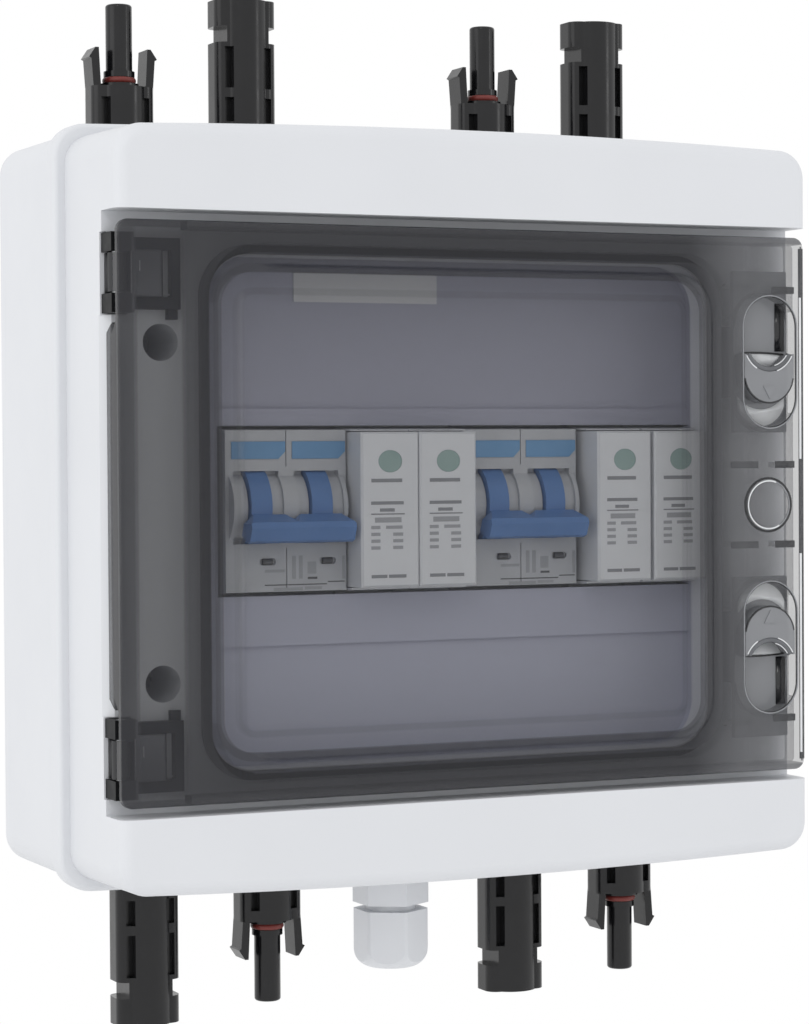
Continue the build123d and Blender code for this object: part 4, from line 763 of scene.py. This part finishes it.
def trim_latch(level, name):
    """Painted shade on the thumb scoop's lip and painted highlights on its edges, painted shade round the button, and
    painted light on the tray floors.
    """
    body = f"{name}_latch"
    lip = latch_arc(level, BUTTON_FACE - 0.5, SCOOP_OFFSET, 7.5, -154, -26, 24)
    trim_piece(f"latch_{name}_lip", [bead(lip, 0.75)], "lip", body)
    bright = [bead(latch_arc(level, BUTTON_FACE, SCOOP_OFFSET, 8.35, start, end, 10), 0.2)
              for start, end in ((-154, -120), (-72, -27))]
    bright.append(bead(latch_arc(level, BUTTON_FACE, SCOOP_OFFSET, 6.7, -75, -32, 10), 0.16))
    trim_piece(f"latch_{name}_gleam", bright, "gleam", body)
    shades = [bead(latch_arc(level, BUTTON_FACE - 0.2, TIP_OFFSET, 8.05, -172, -8, 24), 0.3)]
    # Painted shade: a bowed line across the tray, and a dark strip along its right side.
    across = [(LATCH_X - 7.4 + 1.85 * step, 93.9, PANE_Z + level * (43.4 - 0.02 * (step - 3) ** 2))
              for step in range(9)]
    shades.append(bead(across, 0.26))
    low, high = sorted(PANE_Z + level * reach for reach in (43.8, 57.5))
    shades.append(slab_mesh((96.8, 93.45, low), (100.0, 93.65, high)))
    trim_piece(f"latch_{name}_groove", shades, "groove", body)
    trim_piece(f"latch_{name}_well", [scoop_floor(level), tray_floor(level)], "gleam", body)


def scoop_floor(level):
    """Mesh of painted light on the floor between the scoop's lip and the line across the tray."""
    outline = latch_arc(level, FLOOR_FACE, SCOOP_OFFSET, 7.3, -157, -23, 20)
    outline += [(x, FLOOR_FACE, PANE_Z + level * 43.2) for x in (98.6, 85.4)]
    return plate_mesh(outline, 0.25)


def tray_floor(level):
    """Mesh of painted light on the crescent of the tray that shows beyond the button's round tip."""
    outer = latch_arc(level, FLOOR_FACE, LATCH_OFFSET - SLOT_HALF, 8.2, -162, -18, 20)
    inner = latch_arc(level, FLOOR_FACE, TIP_OFFSET, 9.9, -38, -142, 20)
    return plate_mesh(outer + inner, 0.25)


class JunctionColours(bpy.types.PropertyGroup):
    """Shades of every finish, as sRGB hex codes."""

    housing_low: bpy.props.StringProperty(
        name="Housing shade", default="D5D7DB", description="Darker shade of the white housing")
    housing_high: bpy.props.StringProperty(
        name="Housing", default="DADCE0", description="Main shade of the white housing")
    # Painted shade of the sunken inner panel, darker at the top.
    panel_top: bpy.props.StringProperty(
        name="Panel top", default="A0A1B0", description="Upper shade of the inner panel")
    panel_bottom: bpy.props.StringProperty(
        name="Panel bottom", default="B8BACA", description="Lower shade of the inner panel")
    smoke: bpy.props.StringProperty(
        name="Smoke", default="191A22", description="Body colour of the smoked door")
    # Paler shade that paints light on the door's right flank.
    flank: bpy.props.StringProperty(
        name="Smoke flank", default="5C5D61",
        description="Body colour of the door beside the latches")
    latch: bpy.props.StringProperty(
        name="Latch smoke", default="8E9094", description="Body colour of the smoked latches")
    edge: bpy.props.StringProperty(
        name="Smoke edge", default="3A3B40", description="Body colour of the door's two flanges")
    # Painted highlights on edges, and painted light on the latch tray floors.
    gleam_low: bpy.props.StringProperty(
        name="Gleam shade", default="D0D2D5", description="Darker shade of the polished edges")
    gleam_high: bpy.props.StringProperty(
        name="Gleam", default="ECEEF0", description="Main shade of the polished edges")
    # Painted grey highlights on the latch slot rims and the lock window's rim.
    rim_low: bpy.props.StringProperty(
        name="Slot rim shade", default="76787C", description="Darker shade of the latch slot rims")
    rim_high: bpy.props.StringProperty(
        name="Slot rim", default="9A9CA0", description="Main shade of the latch slot rims")
    # Painted shade along the lip of each thumb scoop.
    lip_low: bpy.props.StringProperty(
        name="Lip shade", default="505256", description="Darker shade of the latch lips")
    lip_high: bpy.props.StringProperty(
        name="Lip", default="6C6E72", description="Main shade of the latch lips")
    knuckle: bpy.props.StringProperty(
        name="Knuckle", default="202124", description="Hinge knuckles and the webs between ears")
    # Painted shade: dark lines, strips and ribs where shade falls.
    groove: bpy.props.StringProperty(
        name="Groove", default="222326", description="Shaded grooves round the latches")
    hinge_frame: bpy.props.StringProperty(
        name="Hinge frame", default="3A3B3F",
        description="Shade of the hinge brackets behind the door")
    hinge: bpy.props.StringProperty(
        name="Hinge", default="131416", description="Body colour of the hinge brackets")
    hinge_pad: bpy.props.StringProperty(
        name="Hinge pad", default="7C7D82", description="Raised pads of the hinge brackets")
    black_low: bpy.props.StringProperty(
        name="Plug shade", default="0E0E10", description="Darker shade of the plugs")
    black_high: bpy.props.StringProperty(
        name="Plug", default="161618", description="Main shade of the plugs")
    breaker_low: bpy.props.StringProperty(
        name="Breaker shade", default="B2B4B8", description="Darker shade of the breaker cases")
    breaker_high: bpy.props.StringProperty(
        name="Breaker", default="C0C2C6", description="Main shade of the breaker cases")
    arrester_low: bpy.props.StringProperty(
        name="Arrester shade", default="D6D8DC", description="Darker shade of the arresters")
    arrester_high: bpy.props.StringProperty(
        name="Arrester", default="E0E2E6", description="Main shade of the arresters")
    toggle_low: bpy.props.StringProperty(
        name="Toggle shade", default="4E76AE", description="Darker shade of the toggles")
    toggle_high: bpy.props.StringProperty(
        name="Toggle", default="5E84BA", description="Main shade of the toggles")
    tab_low: bpy.props.StringProperty(
        name="Tab shade", default="6494C0", description="Darker shade of the tabs")
    tab_high: bpy.props.StringProperty(
        name="Tab", default="74A2CA", description="Main shade of the tabs")
    lens_low: bpy.props.StringProperty(
        name="Status shade", default="86A09C", description="Darker shade of the status windows")
    lens_high: bpy.props.StringProperty(
        name="Status", default="9CB2AE", description="Main shade of the status windows")
    ink: bpy.props.StringProperty(
        name="Ink", default="8C8E92", description="Printed marks")
    pale_ink: bpy.props.StringProperty(
        name="Pale ink", default="A4A6AA", description="Small printed rows")
    dark_ink: bpy.props.StringProperty(
        name="Dark ink", default="5A5B5E", description="Dark printed marks")
    label: bpy.props.StringProperty(
        name="Sticker", default="C6C7CA", description="Bare sticker")
    red: bpy.props.StringProperty(
        name="O-ring", default="6E2620", description="Sealing rings of the plugs")
    seal: bpy.props.StringProperty(
        name="Door seal", default="1A1A1B", description="Rubber on the door skirt")
    washer: bpy.props.StringProperty(
        name="Washer", default="77787A", description="Grey rubber parts")
    steel_low: bpy.props.StringProperty(
        name="Steel shade", default="A9ABAD", description="Darker shade of plated steel")
    steel_high: bpy.props.StringProperty(
        name="Steel", default="C4C6C8", description="Main shade of plated steel")
    screw_low: bpy.props.StringProperty(
        name="Screw shade", default="3A3B3D", description="Darker shade of the cover screws")
    screw_high: bpy.props.StringProperty(
        name="Screw", default="55565A", description="Main shade of the cover screws")
    contact_low: bpy.props.StringProperty(
        name="Contact shade", default="A8A296", description="Darker shade of the plug contacts")
    contact_high: bpy.props.StringProperty(
        name="Contact", default="C9C4B8", description="Main shade of the plug contacts")


class JunctionSizes(bpy.types.PropertyGroup):
    """Sizes of the details that are added to the solids, and of the stage."""

    ink_thickness: bpy.props.FloatProperty(
        name="Ink thickness", default=0.00006, unit="LENGTH",
        description="Height of the print above the plastic")
    floor_drop: bpy.props.FloatProperty(
        name="Floor drop", default=0.30, unit="LENGTH",
        description="Floor below the centre of the box")
    floor_radius: bpy.props.FloatProperty(
        name="Floor radius", default=0.55, unit="LENGTH", description="Radius of the pale floor")
    world_strength: bpy.props.FloatProperty(
        name="Ambient light", default=1.0, description="Strength of the white surroundings")
    key_power: bpy.props.FloatProperty(
        name="Key light", default=1.4, unit="POWER",
        description="Small bright light from the upper left")
    fill_power: bpy.props.FloatProperty(
        name="Fill light", default=2.0, unit="POWER", description="Soft light on the left wall")
    rim_power: bpy.props.FloatProperty(
        name="Side light", default=0.5, unit="POWER", description="Narrow light from the right")
    camera_lens: bpy.props.FloatProperty(
        name="Lens", default=102.05, description="Focal length for a 36 mm sensor")


class JUNCTION_OT_housing(bpy.types.Operator):
    """Dress the back box, the front cover and their small parts"""

    bl_idname = "junction.housing"
    bl_label = "Housing"

    def execute(self, context):
        for node in ("back_box", "gland_body", "gland_nut", "gland_locknut"):
            dress(node, "housing")
        dress("front_cover", "cover")
        for node in ("cover_seal", "gland_insert", "gland_washer"):
            dress(node, "washer")
        dress("cover_screws", "screw")
        dress("label", "label")
        return {"FINISHED"}


class JUNCTION_OT_door(bpy.types.Operator):
    """Dress the smoked door, its latches, seal and hinges"""

    bl_idname = "junction.door"
    bl_label = "Door"

    def execute(self, context):
        dress("door", "smoke")
        for node in ("latch_upper", "latch_lower"):
            dress(node, "latch")
        for node in ("hinge_bracket_upper", "hinge_bracket_lower"):
            dress(node, "hinge")
        dress("door_seal", "seal")
        dress("hinge_pins", "steel")
        trim_door_face()
        trim_door_shade()
        trim_door_sides()
        trim_hinges()
        for level, name in ((1, "upper"), (-1, "lower")):
            trim_latch(level, name)
        return {"FINISHED"}


class JUNCTION_OT_modules(bpy.types.Operator):
    """Dress the breakers, the surge arresters and their rail"""

    bl_idname = "junction.modules"
    bl_label = "Modules"

    def execute(self, context):
        for number in (1, 2):
            dress(f"breaker_{number}_case", "breaker")
            dress(f"breaker_{number}_toggle", "toggle")
            dress(f"breaker_{number}_tabs", "tab")
        for number in (1, 2, 3, 4):
            dress(f"arrester_{number}_base", "arrester")
            dress(f"arrester_{number}_cartridge", "arrester")
            dress(f"arrester_{number}_window", "lens")
        for node in ("din_rail", "rail_screws", "breaker_screws", "arrester_screws"):
            dress(node, "steel")
        return {"FINISHED"}


class JUNCTION_OT_plugs(bpy.types.Operator):
    """Dress the plugs, their rings, nuts and contacts"""

    bl_idname = "junction.plugs"
    bl_label = "Plugs"

    def execute(self, context):
        for node in MALE_PLUGS + FEMALE_PLUGS + ("panel_nuts",):
            dress(node, "black")
        dress("orings", "red")
        dress("panel_washers", "seal")
        dress("male_contacts", "contact")
        dress("female_contacts", "contact")
        return {"FINISHED"}


class JUNCTION_OT_print(bpy.types.Operator):
    """Add plain printed bars to the fronts of the modules"""

    bl_idname = "junction.print"
    bl_label = "Printed marks"

    def execute(self, context):
        thickness = context.scene.junction_sizes.ink_thickness
        for number, node in enumerate(CARTRIDGES, 1):
            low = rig.box(node)[0]
            corner = Vector((low[0], low[1] - thickness / 2, PANE_Z * MM))
            for kind, marks, key in (("print", ARRESTER_BARS, "ink"),
                                     ("small_print", ARRESTER_ROWS, "pale_ink")):
                print_marks(f"arrester_{number}_{kind}", corner, marks, f"cartridge_{number}",
                            thickness, key)
        for number, node in enumerate(BREAKERS, 1):
            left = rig.box(node)[0][0]
            ovals = []
            for offset in MARKER_LEFTS:
                start = left / MM + offset
                ovals.append(bead([(x, BREAKER_FACE - 0.5, MARKER_Z)
                                   for x in (start, start + MARKER_LENGTH)], MARKER_RADIUS))
            trim_piece(f"breaker_{number}_markers", ovals, "dark_ink", "box")
            corner = Vector((left, -BREAKER_FACE * MM - thickness / 2, PANE_Z * MM))
            for kind, marks, key in (("print", BREAKER_BARS, "dark_ink"),
                                     ("small_print", BREAKER_ROWS, "pale_ink")):
                print_marks(f"breaker_{number}_{kind}", corner, marks, "box", thickness, key)
        return {"FINISHED"}


class JUNCTION_OT_stage(bpy.types.Operator):
    """Set up the camera, the soft lights, the surroundings and the floor"""

    bl_idname = "junction.stage"
    bl_label = "Stage"

    def execute(self, context):
        sizes = context.scene.junction_sizes
        place_camera(sizes.camera_lens)
        soft_light("key light", (-0.75, -1.15, 0.85), 0.35, sizes.key_power)
        soft_light("fill light", (-1.3, -0.25, 0.3), 0.9, sizes.fill_power)
        soft_light("side light", (1.1, -0.9, 0.25), 0.25, sizes.rim_power)
        white_surroundings(sizes.world_strength)
        pale_floor(sizes.floor_radius, sizes.floor_drop)
        context.scene.view_settings.view_transform = "Standard"
        return {"FINISHED"}


def place_camera(lens):
    """Camera at the height and angle of the photograph."""
    yaw, pitch, roll = (math.radians(angle) for angle in CAMERA_ANGLES)
    forward = Vector((math.sin(yaw) * math.cos(pitch), math.cos(yaw) * math.cos(pitch),
                      math.sin(pitch)))
    level = Vector((math.cos(yaw), -math.sin(yaw), 0))
    upright = level.cross(forward)
    right = level * math.cos(roll) + upright * math.sin(roll)
    up = upright * math.cos(roll) - level * math.sin(roll)
    data = bpy.data.cameras.new("camera")
    data.lens = lens
    data.sensor_width = 36
    data.clip_start = 0.01
    camera = bpy.data.objects.new("camera", data)
    turn = Matrix((right, up, -forward)).transposed().to_4x4()
    camera.matrix_world = Matrix.Translation(CAMERA_PLACE) @ turn
    bpy.context.collection.objects.link(camera)
    bpy.context.scene.camera = camera


def soft_light(name, place, size, power):
    """Square softbox that points at the box."""
    data = bpy.data.lights.new(name, "AREA")
    data.size = size
    data.energy = power
    light = bpy.data.objects.new(name, data)
    place = Vector(place)
    aim = (Vector((0, -0.05, 0)) - place).to_track_quat("-Z", "Y")
    light.matrix_world = Matrix.Translation(place) @ aim.to_matrix().to_4x4()
    bpy.context.collection.objects.link(light)


def white_surroundings(strength):
    """Even white light from all sides, also seen as the backdrop."""
    world = bpy.data.worlds.new("white surroundings")
    world.use_nodes = True
    backdrop = world.node_tree.nodes["Background"]
    backdrop.inputs["Color"].default_value = (1, 1, 1, 1)
    backdrop.inputs["Strength"].default_value = strength
    bpy.context.scene.world = world


def pale_floor(radius, drop):
    """Round pale floor below the box, out of the photograph's view."""
    form = bmesh.new()
    bmesh.ops.create_circle(form, cap_ends=True, radius=radius, segments=96)
    mesh = freed_mesh("floor", form)
    mesh.transform(Matrix.Translation((0, 0, -drop)))
    # Painted board: nearly white and quite matt.
    material, tree, shader = plain_surface("white painted board", "F4F4F4", 0.7)
    grain(tree, shader, 3.0, 0.05, 0.2)
    mesh.materials.append(material)
    floor = bpy.data.objects.new("floor", mesh)
    bpy.context.collection.objects.link(floor)
    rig.stage(floor)


class JUNCTION_PT_panel(bpy.types.Panel):
    """Buttons and settings of the junction box"""

    bl_label = "Junction Box"
    bl_idname = "JUNCTION_PT_panel"
    bl_space_type = "VIEW_3D"
    bl_region_type = "UI"
    bl_category = "Junction Box"

    def draw(self, context):
        for operator in OPERATORS:
            self.layout.operator(operator.bl_idname)
        for group in (context.scene.junction_colours, context.scene.junction_sizes):
            for name in group.__annotations__:
                self.layout.prop(group, name)


OPERATORS = (JUNCTION_OT_housing, JUNCTION_OT_door, JUNCTION_OT_modules, JUNCTION_OT_plugs,
             JUNCTION_OT_print, JUNCTION_OT_stage)
CLASSES = (JunctionColours, JunctionSizes, *OPERATORS, JUNCTION_PT_panel)


def register():
    """Add the classes and their settings to Blender."""
    for cls in CLASSES:
        bpy.utils.register_class(cls)
    bpy.types.Scene.junction_colours = bpy.props.PointerProperty(type=JunctionColours)
    bpy.types.Scene.junction_sizes = bpy.props.PointerProperty(type=JunctionSizes)


def unregister():
    """Take the classes and their settings out of Blender."""
    del bpy.types.Scene.junction_colours
    del bpy.types.Scene.junction_sizes
    for cls in reversed(CLASSES):
        bpy.utils.unregister_class(cls)


def main():
    """Make the whole scene and write its size beside the solids' own."""
    register()
    bpy.ops.junction.housing()
    bpy.ops.junction.door()
    bpy.ops.junction.modules()
    bpy.ops.junction.plugs()
    bpy.ops.junction.print()
    bpy.ops.junction.stage()
    size = {"cad": [list(corner) for corner in CAD_BOUNDS],
            "visual": [list(corner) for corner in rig.bounds()]}
    with open("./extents.json", "w") as target:
        json.dump(size, target)


if __name__ == "__main__":
    main()
